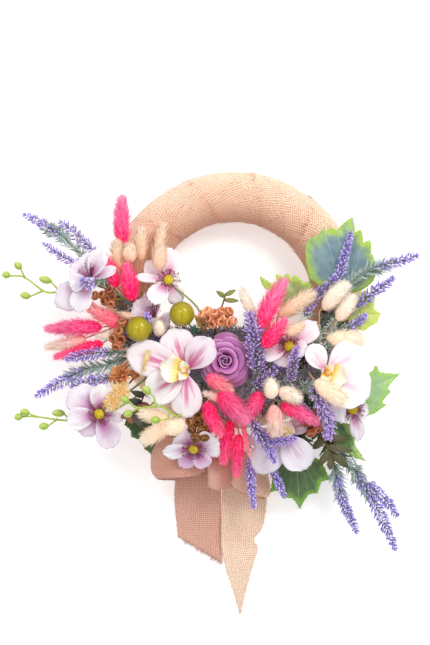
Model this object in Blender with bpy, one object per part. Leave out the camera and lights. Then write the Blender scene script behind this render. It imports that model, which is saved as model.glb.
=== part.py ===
# A dried flower wreath, lying on its back: a ring wound with burlap ribbon, a crescent of
# floral foam on its lower front, the flowers, leaves and seed heads that stand in the foam,
# and a burlap bow. Metres, +Z up. The top of the wreath as it hangs is +Y here.

import math
import random

import bmesh
import bpy
from mathutils import Matrix, Vector
from mathutils.geometry import delaunay_2d_cdt

MM = 0.001
PIXEL = 0.97 * MM  # what one pixel of the photograph spans on the wreath
RING_PIXEL = (233.7, 300.2)  # the ring's centre in the photograph
GAP = 0.3 * MM  # between pieces that touch

# Ring
RING_RADIUS = 100.5 * MM
TUBE_RADIUS = 24.5 * MM
TUBE_HEIGHT = 24.0 * MM  # the tube's centre above the table
CORE_RADIUS = 22.0 * MM
WRAP_INSIDE = 22.6 * MM
LAP_RISE = 1.0 * MM  # each turn of ribbon climbs over the one before
LAPS = 12
STEPS_PER_LAP = 2
SLIT = 6  # half the open slit along the back, degrees round the tube
FLAT = 16  # half of the flattened back, degrees round the tube

# Foam crescent
PAD_TOP = 58 * MM
PAD_BOTTOM = 28 * MM
PAD_OUTER = 112 * MM
PAD_WIDEST_INNER = 88 * MM
PAD_UPPER_EDGE = 30 * MM  # how far below the ring's centre the foam starts
PAD_LEFT_END = 179  # degrees
PAD_SECTIONS = (0, 11, 20.9, 22.0, 23.2, 24.4, 36, 50, 64, 78, 91)  # degrees on from the left end
HOLE_DEPTH = 5.5 * MM
HOLE_RISE = 5 * MM  # how far a hole's cutter stands above the foam
HOLE_CLEARANCE = 0.35 * MM
ROOT_DEPTH = 5.0 * MM
STUB_TOP = PAD_TOP + 2.6 * MM  # where a bunch of stems divides

# Ribbon bow
RIBBON = 1.2 * MM

PETAL_THICKNESS = 0.8 * MM
LEAF_THICKNESS = 0.9 * MM
WELD = 0.001 * MM
SLIVER = 0.01 * MM  # a union's edges and faces narrower than this are closed up
SHARP_ANGLE = math.radians(38)  # edges sharper than this are shaded as edges

COLOURS = {
    "burlap": (0.80, 0.55, 0.40, 0.95),
    "straw": (0.62, 0.45, 0.25, 0.9),
    "foam": (0.10, 0.17, 0.08, 0.95),
    "white petal": (0.90, 0.83, 0.87, 0.6),
    "yellow heart": (0.85, 0.62, 0.08, 0.7),
    "rose": (0.42, 0.20, 0.52, 0.6),
    "berry": (0.33, 0.36, 0.03, 0.3),
    "pod": (0.32, 0.15, 0.07, 0.8),
    "bud green": (0.55, 0.68, 0.12, 0.5),
    "leaf": (0.17, 0.36, 0.08, 0.6),
    "dark leaf": (0.12, 0.11, 0.05, 0.6),
    "lavender": (0.26, 0.20, 0.60, 0.8),
    "pink": (0.86, 0.06, 0.25, 0.9),
    "cream": (0.85, 0.72, 0.55, 0.9),
    "golden": (0.80, 0.52, 0.24, 0.9),
}

# The exact union leaves these open or doubled somewhere
FUSED_BY_VOLUME = {"lavender_lower_right", "pods_bottom", "bunny_tails_pink_middle"}

stem_holes = []  # (place, radius) of every stem that stands in the foam


def place(pixel, height):
    """A point over a pixel of the photograph, height in millimetres above the table."""
    u, v = pixel
    return Vector(((u - RING_PIXEL[0]) * PIXEL, (RING_PIXEL[1] - v) * PIXEL, height * MM))


def mix(a, b, share):
    return a + (b - a) * share


def between(stops, share):
    """A value read from (share, value) stops, straight between them."""
    for (x0, y0), (x1, y1) in zip(stops, stops[1:]):
        if share <= x1:
            return mix(y0, y1, (share - x0) / (x1 - x0))
    return stops[-1][1]


def smooth_path(points, steps):
    """Points on a smooth curve through the given ones."""
    points = [Vector(point) for point in points]
    ends = [2 * points[0] - points[1]] + points + [2 * points[-1] - points[-2]]
    path = []
    for a, b, c, d in zip(ends, ends[1:], ends[2:], ends[3:]):
        for i in range(steps):
            t = i / steps
            path.append(
                0.5 * (2 * b + (c - a) * t + (2 * a - 5 * b + 4 * c - d) * t * t
                       + (3 * b - a - 3 * c + d) * t * t * t)
            )
    path.append(points[-1])
    return path


# Shapes: each is (points, faces), one closed body facing out


def bridge(faces, lower, upper):
    """Faces between two rings, of equal count or of three and six points."""
    if len(lower) == len(upper):
        for k in range(len(lower)):
            following = (k + 1) % len(lower)
            faces.append((lower[k], lower[following], upper[following], upper[k]))
        return
    few, many, out = (lower, upper, 1) if len(lower) < len(upper) else (upper, lower, -1)
    for k in range(len(few)):
        following = (k + 1) % len(few)
        a, b, c = many[2 * k], many[2 * k + 1], many[(2 * k + 2) % len(many)]
        for face in ((few[k], b, a), (few[k], few[following], b), (few[following], c, b)):
            faces.append(face[::out])


def tube(path, radii, sides=3, studs=None, lean=0.0, point=0.0):
    """A tube along a path. Studs push every other point out, and lean slides those forward.
    Point draws the far end out to a tip."""
    counts = sides if isinstance(sides, list) else [sides] * len(path)
    studs = studs or [0] * len(path)
    points, rings = [], []
    tangent = (path[1] - path[0]).normalized()
    helper = Vector((0, 0, 1)) if abs(tangent.z) < 0.9 else Vector((1, 0, 0))
    side = tangent.cross(helper).normalized()
    for i, centre in enumerate(path):
        before, after = path[max(i - 1, 0)], path[min(i + 1, len(path) - 1)]
        tangent = (after - before).normalized()
        side = (side - tangent * side.dot(tangent)).normalized()
        other = tangent.cross(side)
        ring = []
        for k in range(counts[i]):
            angle = 2 * math.pi * k / counts[i]
            outward = side * math.cos(angle) + other * math.sin(angle)
            out = (k + i) % 2 == 0
            reach = radii[i] + (studs[i] if out else 0)
            slide = lean * studs[i] if out else 0
            ring.append(len(points))
            points.append(centre + outward * reach + tangent * slide)
        rings.append(ring)
    faces = []
    for lower, upper in zip(rings, rings[1:]):
        bridge(faces, lower, upper)
    first, last = len(points), len(points) + 1
    points += [path[0].copy(), path[-1] + tangent * (lean * studs[-1] + point)]
    for k in range(counts[0]):
        faces.append((first, rings[0][(k + 1) % counts[0]], rings[0][k]))
    for k in range(counts[-1]):
        faces.append((last, rings[-1][k], rings[-1][(k + 1) % counts[-1]]))
    return points, faces


def blade(grid, thickness):
    """A thin sheet on a grid of points, split into triangles alike on both faces."""
    rows, columns = len(grid), len(grid[0])
    points = []
    for face in (1, -1):
        for i in range(rows):
            for j in range(columns):
                along = grid[min(i + 1, rows - 1)][j] - grid[max(i - 1, 0)][j]
                across = grid[i][min(j + 1, columns - 1)] - grid[i][max(j - 1, 0)]
                normal = along.cross(across).normalized()
                points.append(grid[i][j] + normal * (face * thickness / 2))
    half = rows * columns
    faces = []
    for i in range(rows - 1):
        for j in range(columns - 1):
            a, b = i * columns + j, i * columns + j + 1
            c, d = a + columns, b + columns
            split = ((a, c, d), (a, d, b)) if (i + j) % 2 else ((a, c, b), (b, c, d))
            for face in split:
                faces.append(face)
                faces.append(tuple(half + corner for corner in reversed(face)))
    rim = [j for j in range(columns)]
    rim += [i * columns + columns - 1 for i in range(1, rows)]
    rim += [(rows - 1) * columns + j for j in range(columns - 2, -1, -1)]
    rim += [i * columns for i in range(rows - 2, 0, -1)]
    for a, b in zip(rim, rim[1:] + rim[:1]):
        faces.append((a, b, half + b, half + a))
    return points, faces


def plate(outline, inner, height, thickness):
    """A thin sheet of any outline, seen from above, at the height given for each place."""
    flat = [Vector((point.x, point.y)) / MM for point in outline + inner]
    count = len(outline)
    edges = [(k, (k + 1) % count) for k in range(count)]
    found = delaunay_2d_cdt(flat, edges, [], 1, 1e-4)
    places, triangles = found[0], found[2]
    points = []
    for face in (1, -1):
        for spot in places:
            x, y = spot.x * MM, spot.y * MM
            points.append(Vector((x, y, height(x, y) + face * thickness / 2)))
    half = len(places)
    faces = []
    rim = {}
    for triangle in triangles:
        a, b, c = triangle
        turn = (places[b] - places[a]).cross(places[c] - places[a])
        triangle = (a, b, c) if turn > 0 else (a, c, b)
        faces.append(tuple(triangle))
        faces.append(tuple(half + corner for corner in reversed(triangle)))
        for a, b in zip(triangle, triangle[1:] + triangle[:1]):
            if (b, a) in rim:
                del rim[(b, a)]
            else:
                rim[(a, b)] = True
    for a, b in rim:
        faces.append((a, half + a, half + b, b))
    return points, faces


def spindle(base, tip, up, width, thickness=1.0 * MM):
    """A narrow leaf with a sharp base and tip."""
    middle = mix(base, tip, 0.45)
    side = (tip - base).cross(up).normalized()
    over = side.cross(tip - base).normalized()
    points = [base, middle + side * width / 2, middle + over * thickness / 2,
              middle - side * width / 2, middle - over * thickness / 2, tip]
    faces = []
    for k in range(4):
        a, b = 1 + k, 1 + (k + 1) % 4
        faces.append((0, b, a))
        faces.append((5, a, b))
    return points, faces


# Objects


def material(colour):
    found = bpy.data.materials.get(colour)
    if found:
        return found
    red, green, blue, roughness = COLOURS[colour]
    made = bpy.data.materials.new(colour)
    made.use_nodes = True
    shader = made.node_tree.nodes["Principled BSDF"]
    shader.inputs["Base Color"].default_value = (red, green, blue, 1)
    shader.inputs["Roughness"].default_value = roughness
    shader.inputs["Metallic"].default_value = 0
    return made


def add_object(name, shape, collection):
    points, faces = shape
    mesh = bpy.data.meshes.new(name)
    mesh.from_pydata(points, [], faces)
    facing_out = signed_volume(points, faces) > 0
    if not facing_out:
        mesh.flip_normals()
    obj = bpy.data.objects.new(name, mesh)
    collection.objects.link(obj)
    return obj


def signed_volume(points, faces):
    total = 0
    for face in faces:
        for b, c in zip(face[1:], face[2:]):
            total += points[face[0]].cross(points[b]).dot(points[c])
    return total / 6


def apply_modifiers(obj):
    graph = bpy.context.evaluated_depsgraph_get()
    mesh = bpy.data.meshes.new_from_object(obj.evaluated_get(graph), depsgraph=graph)
    obj.modifiers.clear()
    old = obj.data
    obj.data = mesh
    bpy.data.meshes.remove(old)


def keep_main_body(obj):
    """Drops the scraps and the sealed hollows that a union can leave."""
    work = bmesh.new()
    work.from_mesh(obj.data)
    bmesh.ops.remove_doubles(work, verts=work.verts, dist=WELD)
    left = set(work.faces)
    bodies = []
    while left:
        start = left.pop()
        body, waiting = [start], [start]
        while waiting:
            for edge in waiting.pop().edges:
                for near in edge.link_faces if len(edge.link_faces) == 2 else ():
                    if near in left:
                        left.remove(near)
                        body.append(near)
                        waiting.append(near)
        bodies.append(body)
    bodies.sort(key=lambda body: sum(face.calc_area() for face in body))
    scraps = [face for body in bodies[:-1] for face in body]
    if scraps:
        bmesh.ops.delete(work, geom=scraps, context="FACES")
    work = without_slivers(work)
    work.to_mesh(obj.data)
    work.free()


def without_slivers(work):
    """The same mesh with its slivers closed up, as long as it stays closed."""
    tidied = work.copy()
    many_sided = [face for face in tidied.faces if len(face.verts) > 4]
    bmesh.ops.triangulate(tidied, faces=many_sided)
    bmesh.ops.dissolve_degenerate(tidied, dist=SLIVER, edges=tidied.edges)
    kept, dropped = tidied, work
    if not all(edge.is_manifold for edge in tidied.edges):
        kept, dropped = work, tidied
    dropped.free()
    return kept


def fuse(name, shapes, colour, root=None):
    """One object from several overlapping shapes."""
    scene = bpy.context.scene.collection
    obj = add_object(name, shapes[0], scene)
    if len(shapes) > 1:
        others = bpy.data.collections.new(name + " pieces")
        scene.children.link(others)
        for shape in shapes[1:]:
            add_object(name + " piece", shape, others)
        union = obj.modifiers.new("Fuse", "BOOLEAN")
        union.operation = "UNION"
        union.solver = "MANIFOLD" if name in FUSED_BY_VOLUME else "EXACT"
        union.operand_type = "COLLECTION"
        union.collection = others
        apply_modifiers(obj)
        for piece in list(others.objects):
            bpy.data.objects.remove(piece)
        bpy.data.collections.remove(others)
        keep_main_body(obj)
    finish(obj, colour, place(root, PAD_TOP / MM) if root else Vector())
    return obj


def finish(obj, colour, origin):
    """Its material, its shading, and its own origin: where its stem enters the foam."""
    obj.data.transform(Matrix.Translation(-origin))
    obj.location = origin
    obj.data.shade_smooth()
    obj.data.set_sharp_from_angle(angle=SHARP_ANGLE)
    obj.data.materials.clear()
    obj.data.materials.append(material(colour))


def centre_on_origin():
    """Carries all pieces on one empty, so that the box's bottom centre is the origin."""
    wreath = bpy.data.objects.new("wreath", None)
    corners = []
    for obj in list(bpy.context.scene.collection.objects):
        obj.parent = wreath
        corners += [obj.location + point.co for point in obj.data.vertices]
    bpy.context.scene.collection.objects.link(wreath)
    for axis in (0, 1):
        reach = [corner[axis] for corner in corners]
        wreath.location[axis] = -(min(reach) + max(reach)) / 2


# Stems and heads


def root_points(root, radius):
    """Where a stem enters the foam. The foam gets a hole there."""
    stem_holes.append((place(root, 0), radius))
    return [place(root, (PAD_TOP - ROOT_DEPTH) / MM), place(root, PAD_TOP / MM + 2)]


def stem(root, route, radius=1.1 * MM, end_radius=None, sides=4):
    """A stem from its hole in the foam, through the route's points."""
    path = root_points(root, radius) + route
    end_radius = end_radius or radius
    radii = [mix(radius, end_radius, i / (len(path) - 1)) for i in range(len(path))]
    return tube(path, radii, sides)


def stub(root, radius=1.9 * MM):
    """The short stout stem end that a bunch of stems springs from."""
    stem_holes.append((place(root, 0), radius))
    low, high = place(root, (PAD_TOP - ROOT_DEPTH) / MM), place(root, STUB_TOP / MM)
    return tube([low, high], [radius, radius], 4)


def from_stub(root, route, number):
    """The route of one stem of a bunch, from a place of its own inside the stub."""
    start = place(root, STUB_TOP / MM - 0.9 - 0.25 * number)
    return [start - (route[0] - start).normalized() * 0.7 * MM] + route


def branch(route, radius=0.8 * MM, end_radius=0.7 * MM, sides=3):
    radii = [mix(radius, end_radius, i / (len(route) - 1)) for i in range(len(route))]
    return tube(route, radii, sides)


TAIL_PROFILE = [(0, 0.34), (0.3, 0.95), (0.65, 0.93), (1, 0.3)]


def tail(route, base, tip, width):
    """A bunny tail: a thin stem, and a soft egg of bristles that is fattest near its base."""
    length = (tip - base).length
    path = [spot for spot in route]
    radii = [0.9 * MM] * len(path)
    studs = [0] * len(path)
    for share, fullness in TAIL_PROFILE:
        path.append(mix(base, tip, 0.02 + 0.9 * share))
        radii.append(width / 2 * fullness * 0.78)
        studs.append(width / 2 * fullness * 0.3)
    sides = [3] * len(route) + [6] * len(TAIL_PROFILE)
    lean = min(1.0, length / width * 0.5)
    return tube(path, radii, sides, studs, lean, point=length * 0.04)


RING_SPACING = 7.4 * MM  # along a lavender spike, from one whorl of florets to the next


def lavender_stalk(route, spike, width, rings):
    """A thin stem with purple florets standing out round its upper part, larger than life."""
    curve = smooth_path(spike, 4)
    path = [spot for spot in route]
    radii = [0.9 * MM] * len(path)
    studs = [0] * len(path)
    for i in range(rings):
        share = i / (rings - 1)
        spot = share * (len(curve) - 1)
        low = min(int(spot), len(curve) - 2)
        path.append(mix(curve[low], curve[low + 1], spot - low))
        fullness = between([(0, 0.75), (0.2, 1.0), (0.6, 0.9), (0.9, 0.6), (1, 0.25)], share)
        radii.append(1.3 * MM * mix(1, 0.5, share))
        studs.append(width / 2 * fullness - 1.3 * MM)
    return tube(path, radii, 4, studs, lean=0.7)


def stem_leaves(path, count, length, rng):
    """Narrow grey-green leaves in pairs along a lavender stem."""
    leaves = []
    for i in range(count):
        share = (i + 0.5) / count
        spot = share * (len(path) - 1)
        low = min(int(spot), len(path) - 2)
        centre = mix(path[low], path[low + 1], spot - low)
        along = (path[low + 1] - path[low]).normalized()
        side = along.cross(Vector((0, 0, 1))).normalized()
        turn = 1 if i % 2 else -1
        reach = along * 0.75 + side * turn * 0.6 + Vector((0, 0, rng.uniform(0.0, 0.25)))
        tip = centre + reach.normalized() * length * rng.uniform(0.85, 1.1)
        leaves.append(spindle(centre - reach * 0.4 * MM, tip, Vector((0, 0, 1)), 2.6 * MM))
    return leaves


def petal(base, tip, up, width, cup, arch, profile):
    """A petal from its base to its tip. Cup lifts its edges and arch its middle."""
    axis = tip - base
    side = up.cross(axis).normalized()
    lift = axis.cross(side).normalized()
    length = axis.length
    grid = []
    for s, fullness in profile:
        half = width / 2 * fullness
        row = []
        for t in (-1, 0, 1):
            rise = arch * length * 4 * s * (1 - s) + cup * width * t * t * s
            row.append(base + axis * s * (1 - 0.12 * s * t * t) + side * half * t + lift * rise)
        grid.append(row)
    return blade(grid, PETAL_THICKNESS)


ANEMONE_PROFILE = [(0, 0.17), (0.62, 1.0), (1, 0.55)]
ORCHID_PROFILE = [(0, 0.13), (0.36, 0.85), (0.72, 0.95), (1, 0.25)]
UPPER, LOWER, MIDDLE = (0.9, 1.5, 1.0), (-1.3, -1.5, -0.4), (-0.2, 0.0, 0.0)


def bloom_petals(spec, profile, cup, arch):
    """The petals, hub and stem of one bloom. Neighbouring petals lie one over the other."""
    heart = place(spec["heart"], spec["height"])
    up = Vector((*spec.get("facing", (0, 0)), 1)).normalized()
    shapes = [tube([heart - up * 2.6 * MM, heart + up * 1.9 * MM], [4.2 * MM, 4.4 * MM], 6)]
    petals = sorted(spec["petals"], key=lambda found: math.atan2(-found[1], found[0]))
    for i, (du, dv, width, rise) in enumerate(petals):
        level, lift, curl = (UPPER, LOWER)[i % 2]
        if i % 2 == 0 and i == len(petals) - 1:
            level, lift, curl = MIDDLE
        reach = Vector((du * PIXEL, -dv * PIXEL, 0))
        reach.z = -(up.x * reach.x + up.y * reach.y) / up.z + (rise + lift) * MM
        base = heart + reach.normalized() * 3.0 * MM + up * level * MM
        tip = heart + reach + up * level * MM
        shapes.append(petal(base, tip, up, width * MM, cup * curl, arch, profile))
    route = [place(*spot) for spot in spec.get("route", [])] + [heart - up * 1.5 * MM]
    shapes.append(stem(spec["root"], route))
    return shapes


def anemone_heart(spec, rng):
    """A yellow dome in a ring of brown stamens, or only the fan of stamens that shows past
    what lies over the dome."""
    heart = place(spec["heart"], spec["height"])
    up = Vector((*spec.get("facing", (0, 0)), 1)).normalized()
    side = up.cross(Vector((0, 1, 0))).normalized()
    other = up.cross(side)
    floor = heart + up * (1.9 * MM + (-GAP if spec.get("whole") else GAP))
    covered = "fan" in spec
    shapes = [] if covered else [
        tube([floor, floor + up * 2.6 * MM], [3.8 * MM, 3.2 * MM], 6, point=MM)]
    first, last, count = spec.get("fan", (0, 288, 5))
    for k in range(count):
        angle = math.radians(mix(first, last, k / (count - 1)) + rng.uniform(-12, 12))
        out = side * math.cos(angle) + other * math.sin(angle)
        low = -0.4 if covered else 1.3
        start = floor + out * 2.5 * MM + up * low * MM
        reach = rng.uniform(11, 14) if covered else rng.uniform(7.5, 9.0)
        end = floor + out * reach * MM + up * rng.uniform(4.0, 4.8) * MM
        shapes.append(tube([start, end], [0.45 * MM, 0.75 * MM], 3))
    return shapes


ANEMONES = {
    "anemone_upper_left": dict(
        heart=(91, 280), height=80.5, facing=(-0.12, 0.1), root=(129, 301),
        route=[((116, 293), 68), ((97, 283), 73)], whole=True, fan=(250, 335, 4),
        petals=[(-3, -27, 15, 5), (12, -31, 15, 5), (-19, -16, 15, 2), (-21, 4, 14, 0),
                (-34, 25, 22, -6), (-14, 31, 17, -5), (25, -12, 8, 4)]),
    "anemone_ring": dict(
        heart=(168, 281), height=74, facing=(0.15, 0.25), root=(204, 336),
        route=[((203, 326), 62), ((197, 307), 63), ((176, 288), 70)],
        petals=[(-22, -18, 15, 3), (2, -32, 15, 3), (-32, -4, 7, 4), (-16, 22, 16, -4),
                (12, 22, 14, -12)]),
    "anemone_behind": dict(
        heart=(155, 320), height=66, root=(150, 338), route=[((152, 329), 62)], whole=True,
        fan=(240, 310, 3), petals=[(-21, -17, 18, 0), (-8, -27, 17, 0), (15, 3, 15, -3)]),
    "anemone_lower_left": dict(
        heart=(98.5, 413.3), height=66, facing=(0.2, -0.15), root=(155, 372),
        route=[((135, 387), 61), ((110, 406), 61)],
        petals=[(-27, -23, 24, 2), (4, -29, 18, 3), (-31, 7, 17, 0), (-16, 22, 16, 0),
                (18, 33, 22, -2), (25, 6, 9, 5)]),
    "anemone_bottom": dict(
        heart=(193.6, 447), height=62, facing=(0.0, -0.75), root=(197, 406),
        route=[((197, 420), 60), ((194, 437), 59)], whole=True,
        petals=[(-19, -8, 20, 0), (24, -8, 20, 0), (-30, 4, 14, 3), (-10, 22, 14, 4),
                (14, 19, 14, 4), (28, 5, 10, 3)]),
    "anemone_right": dict(
        heart=(289.1, 346.4), height=78, facing=(-0.1, 0.15), root=(289, 352),
        petals=[(28, -23, 17, 3), (18, 4, 14, 0), (-14, 17, 17, -2), (-27, 10, 13, 0),
                (2, -19, 14, -2)]),
    "anemone_lower_right": dict(
        heart=(352, 408.8), height=64, facing=(0.2, -0.1), root=(315, 374),
        route=[((330, 389), 60.5), ((346, 404), 59)], whole=True,
        petals=[(8, 31, 11, -3), (16, 3, 12, 0), (-14, 10, 12, -1), (3, -18, 12, 0)]),
}

ORCHIDS = {
    "orchid_left": dict(
        heart=(186, 371), height=84, root=(187, 374),
        petals=[(-58, -20, 33, -6), (-13, -42, 33, -1), (27, -31, 31, 2), (-38, 25, 31, -4),
                (4, 46, 31, -1)],
        lip=(-22, -4)),
    "orchid_right": dict(
        heart=(325, 372), height=80, facing=(0.05, 0.0), root=(319, 359),
        route=[((321, 365), 68)],
        petals=[(-15, -27, 20, 6), (38, -22, 34, -4), (42, 25, 40, 0), (17, 50, 15, -6),
                (-10, 28, 14, -3)],
        lip=(14, 6)),
    "orchid_bottom": dict(
        heart=(283, 432), height=66, facing=(0.0, -0.2), root=(278, 401),
        route=[((280, 418), 60)],
        petals=[(-26, 41, 31, -2), (26, 38, 33, -5), (26, -9, 20, 3), (-34, 8, 18, -4)],
        lip=(4, -6), whole=True),
}


def build_anemones():
    rng = random.Random(11)
    for name, spec in ANEMONES.items():
        petals = bloom_petals(spec, ANEMONE_PROFILE, 0.10, 0.06)
        heart = anemone_heart(spec, rng)
        if spec.get("whole"):
            fuse(name, petals + heart, "white petal", spec["root"])
        else:
            fuse(name + "_petals", petals, "white petal", spec["root"])
            fuse(name + "_heart", heart, "yellow heart", spec["root"])


def orchid_lip(spec):
    """The cupped lip with its column, on top of the hub."""
    heart = place(spec["heart"], spec["height"])
    up = Vector((*spec.get("facing", (0, 0)), 1)).normalized()
    du, dv = spec["lip"]
    reach = Vector((du * PIXEL, -dv * PIXEL, 0))
    length = max(reach.length, 18 * MM)
    reach = reach.normalized() * length
    side = up.cross(reach).normalized()
    lift = -1.2 * MM if spec.get("whole") else GAP
    floor = heart + up * (1.9 * MM + lift + 1.2 * MM)
    profile = [(0, 0.4), (0.5, 1.0), (1, 0.6)]
    shapes = [petal(floor, floor + reach + up * 4 * MM, up, 20 * MM, 0.3, 0.12, profile)]
    tip = floor + reach.normalized() * 4 * MM + up * 7.5 * MM
    shapes.append(tube([floor - up * 0.9 * MM, mix(floor, tip, 0.5), tip],
                       [1.6 * MM, 2.4 * MM, 1.4 * MM], 5))
    for turn in () if spec.get("whole") else (1, -1):
        lobe = floor + side * turn * 9 * MM + up * 6 * MM + reach * 0.25
        shapes.append(petal(floor, lobe, up, 9 * MM, 0.2, 0.1, profile))
    return shapes


def build_orchids():
    for name, spec in ORCHIDS.items():
        petals = bloom_petals(spec, ORCHID_PROFILE, 0.08, 0.05)
        if spec.get("whole"):
            fuse(name, petals + orchid_lip(spec), "white petal", spec["root"])
        else:
            fuse(name + "_petals", petals, "white petal", spec["root"])
            fuse(name + "_lip", orchid_lip(spec), "yellow heart", spec["root"])


# Rose

ROSE = dict(heart=(225, 361), height=68, root=(225, 362))
ROSE_WHORLS = [  # petals, root radius, lip radius, lip height, half width, first angle
    (2, 2.4, 5.5, 17.0, 80, 20),
    (3, 4.6, 11.5, 15.5, 54, 75),
    (4, 7.0, 18.5, 12.0, 43, 10),
    (4, 9.4, 25.0, 6.0, 43, 55),
]


def build_rose():
    heart = place(ROSE["heart"], ROSE["height"])
    rise = Vector((0, 0, MM))
    shapes = [tube([heart - rise * 3, heart + rise, heart + rise * 5],
                   [9.0 * MM, 10.6 * MM, 3.0 * MM], 6)]
    for count, root_radius, lip, height, half, first in ROSE_WHORLS:
        for k in range(count):
            middle = math.radians(first + 360 * k / count)
            grid = []
            for s in (0, 0.5, 1):
                radius = mix(root_radius, lip, s ** 1.4)
                row = []
                for t in (-1, 0, 1):
                    angle = middle + math.radians(half) * t
                    out = Vector((math.cos(angle), math.sin(angle), 0))
                    reach = radius + t * mix(0.5, 1.2, s)
                    droop = 1 - 0.12 * t * t * s
                    row.append(heart + out * reach * droop * MM
                               + rise * height * (1 - (1 - s) ** 1.6) * droop)
                grid.append(row)
            shapes.append(blade(grid, PETAL_THICKNESS))
    shapes.append(stem(ROSE["root"], [heart]))
    fuse("rose", shapes, "rose", ROSE["root"])


# Green berries

BERRIES = {
    "berry_left": dict(centre=(139, 329), height=80, radius=12.6, root=(139, 329), route=[]),
    "berry_right": dict(centre=(182, 314), height=80, radius=12.2, root=(196, 334),
                        route=[((190, 325), 63)]),
}


def build_berries():
    for name, spec in BERRIES.items():
        centre = place(spec["centre"], spec["height"])
        radius = spec["radius"] * MM
        path, radii = [], []
        for i in range(6):
            angle = math.pi * (0.09 + 0.82 * i / 5)
            path.append(centre - Vector((0, 0, math.cos(angle) * radius)))
            radii.append(math.sin(angle) * radius)
        route = [place(*spot) for spot in spec["route"]]
        route.append(centre - Vector((0, 0, radius - 2 * MM)))
        shapes = [tube(path, radii, 10), stem(spec["root"], route)]
        fuse(name, shapes, "berry", spec["root"])


# Seed pods

PODS = {
    "pods_upper_left": dict(
        root=(131, 310), knot=((113, 300), 76), height=84, size=8.6,
        pods=[(93, 295), (101, 294), (109, 289), (112, 297), (103, 302), (111, 305)]),
    "pods_left": dict(
        root=(134, 342), knot=((122, 336), 78), height=84, size=9.6,
        pods=[(122, 320), (118, 330), (112, 339), (121, 340), (116, 348)]),
    "pods_middle": dict(
        root=(215, 336), knot=((216, 322), 72), height=80, size=9.0,
        pods=[(200, 313), (206, 309), (214, 311), (223, 309), (216, 319), (227, 316), (236, 321)]),
    "pods_bottom": dict(
        root=(205, 405), knot=((202, 419), 67.5), height=76, size=9.2,
        pods=[(197, 423), (190, 431), (202, 432), (195, 440), (206, 415), (211, 430)]),
}


def pod(knot, base, mouth, width):
    """A small cup with a dished mouth, on its own thin stalk."""
    points, faces = tube([knot, base, mouth], [0.7 * MM, width * 0.22, width * 0.5], 5)
    points[-1] = mix(mouth, base, 0.3)
    return points, faces


def pod_bunch(spec, rng):
    knot = place(*spec["knot"])
    shapes = [stem(spec["root"], [knot + Vector((0, 0, MM))], 1.4 * MM)]
    for pixel in spec["pods"]:
        top = place(pixel, spec["height"] + rng.uniform(-1.5, 1.5))
        lean = top - knot
        lean.z = 12 * MM
        axis = lean.normalized() * spec["size"] * 0.95 * MM
        shapes.append(pod(knot, top - axis, top, spec["size"] * MM))
    return shapes


def build_pods():
    rng = random.Random(5)
    for name, spec in PODS.items():
        extra = olive_leaves() if name == "pods_middle" else []
        fuse(name, pod_bunch(spec, rng) + extra, "pod", spec["root"])


# Bud sprigs

SPRIGS = {
    "bud_sprig_upper_left": dict(
        root=(124.5, 299),
        stem=[((115, 299), 66.5), ((98, 296), 67), ((64, 291.5), 64), ((46, 292), 63),
              ((25, 277.5), 62), ((10, 275.7), 62)],
        twigs=[[((25, 277.5), 62), ((20.9, 268.6), 63)],
               [((43, 291), 63), ((30, 296.6), 62)],
               [((60, 291.5), 63), ((51, 281.5), 65)]],
        buds=[((10, 275.7), (2, 274), 62), ((20.9, 268.6), (15, 262), 63),
              ((30, 296.6), (20, 294.5), 62), ((51, 281.5), (39, 278), 65)]),
    "bud_sprig_lower_left": dict(
        root=(158, 380),
        stem=[((150, 386), 60.4), ((128, 402), 55), ((96, 419), 50), ((66.5, 420.5), 53),
              ((36.8, 416.7), 54), ((22, 416.7), 54)],
        twigs=[[((36, 416.5), 54), ((29, 413.4), 55)],
               [((57, 419.5), 53.5), ((48, 426), 53)],
               [((70, 420.5), 53), ((64, 413.3), 56)]],
        buds=[((22, 416.7), (14, 417.2), 54), ((29, 413.4), (20, 410.6), 55),
              ((48, 426), (38.5, 426.6), 53), ((64, 413.3), (52, 412.8), 56)]),
    "bud_sprig_middle": dict(
        root=(181, 398),
        stem=[((183, 408), 72), ((178.8, 416), 84), ((170, 412), 90), ((163.5, 407.3), 92),
              ((154, 406), 92), ((138, 407.6), 90), ((129, 402), 90)],
        twigs=[[((156, 406), 92), ((154.3, 397), 93), ((150, 393), 93)],
               [((170, 412), 90), ((168, 418), 89), ((160, 420), 88)],
               [((139, 407.6), 90), ((132, 412), 89)]],
        buds=[((129, 402), (121, 397), 90), ((150, 393), (143, 386), 93),
              ((160, 420), (150, 419.5), 88), ((132, 412), (124, 415), 89)]),
}


def bud(base, tip):
    path = [mix(base, tip, share) for share in (0, 0.35, 0.75)]
    return tube(path, [0.9 * MM, 3.1 * MM, 2.4 * MM], 5, point=(tip - base).length * 0.25)


def build_sprigs():
    for name, spec in SPRIGS.items():
        shapes = [stem(spec["root"], [place(*spot) for spot in spec["stem"]], 1.2 * MM, 1.0 * MM)]
        for twig in spec["twigs"]:
            shapes.append(branch([place(*spot) for spot in twig], 1.0 * MM, 0.8 * MM))
        for base, tip, height in spec["buds"]:
            start, end = place(base, height), place(tip, height)
            shapes.append(bud(start - (end - start) * 0.08, end))
        fuse(name, shapes, "bud green", spec["root"])


# Large leaves

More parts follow.
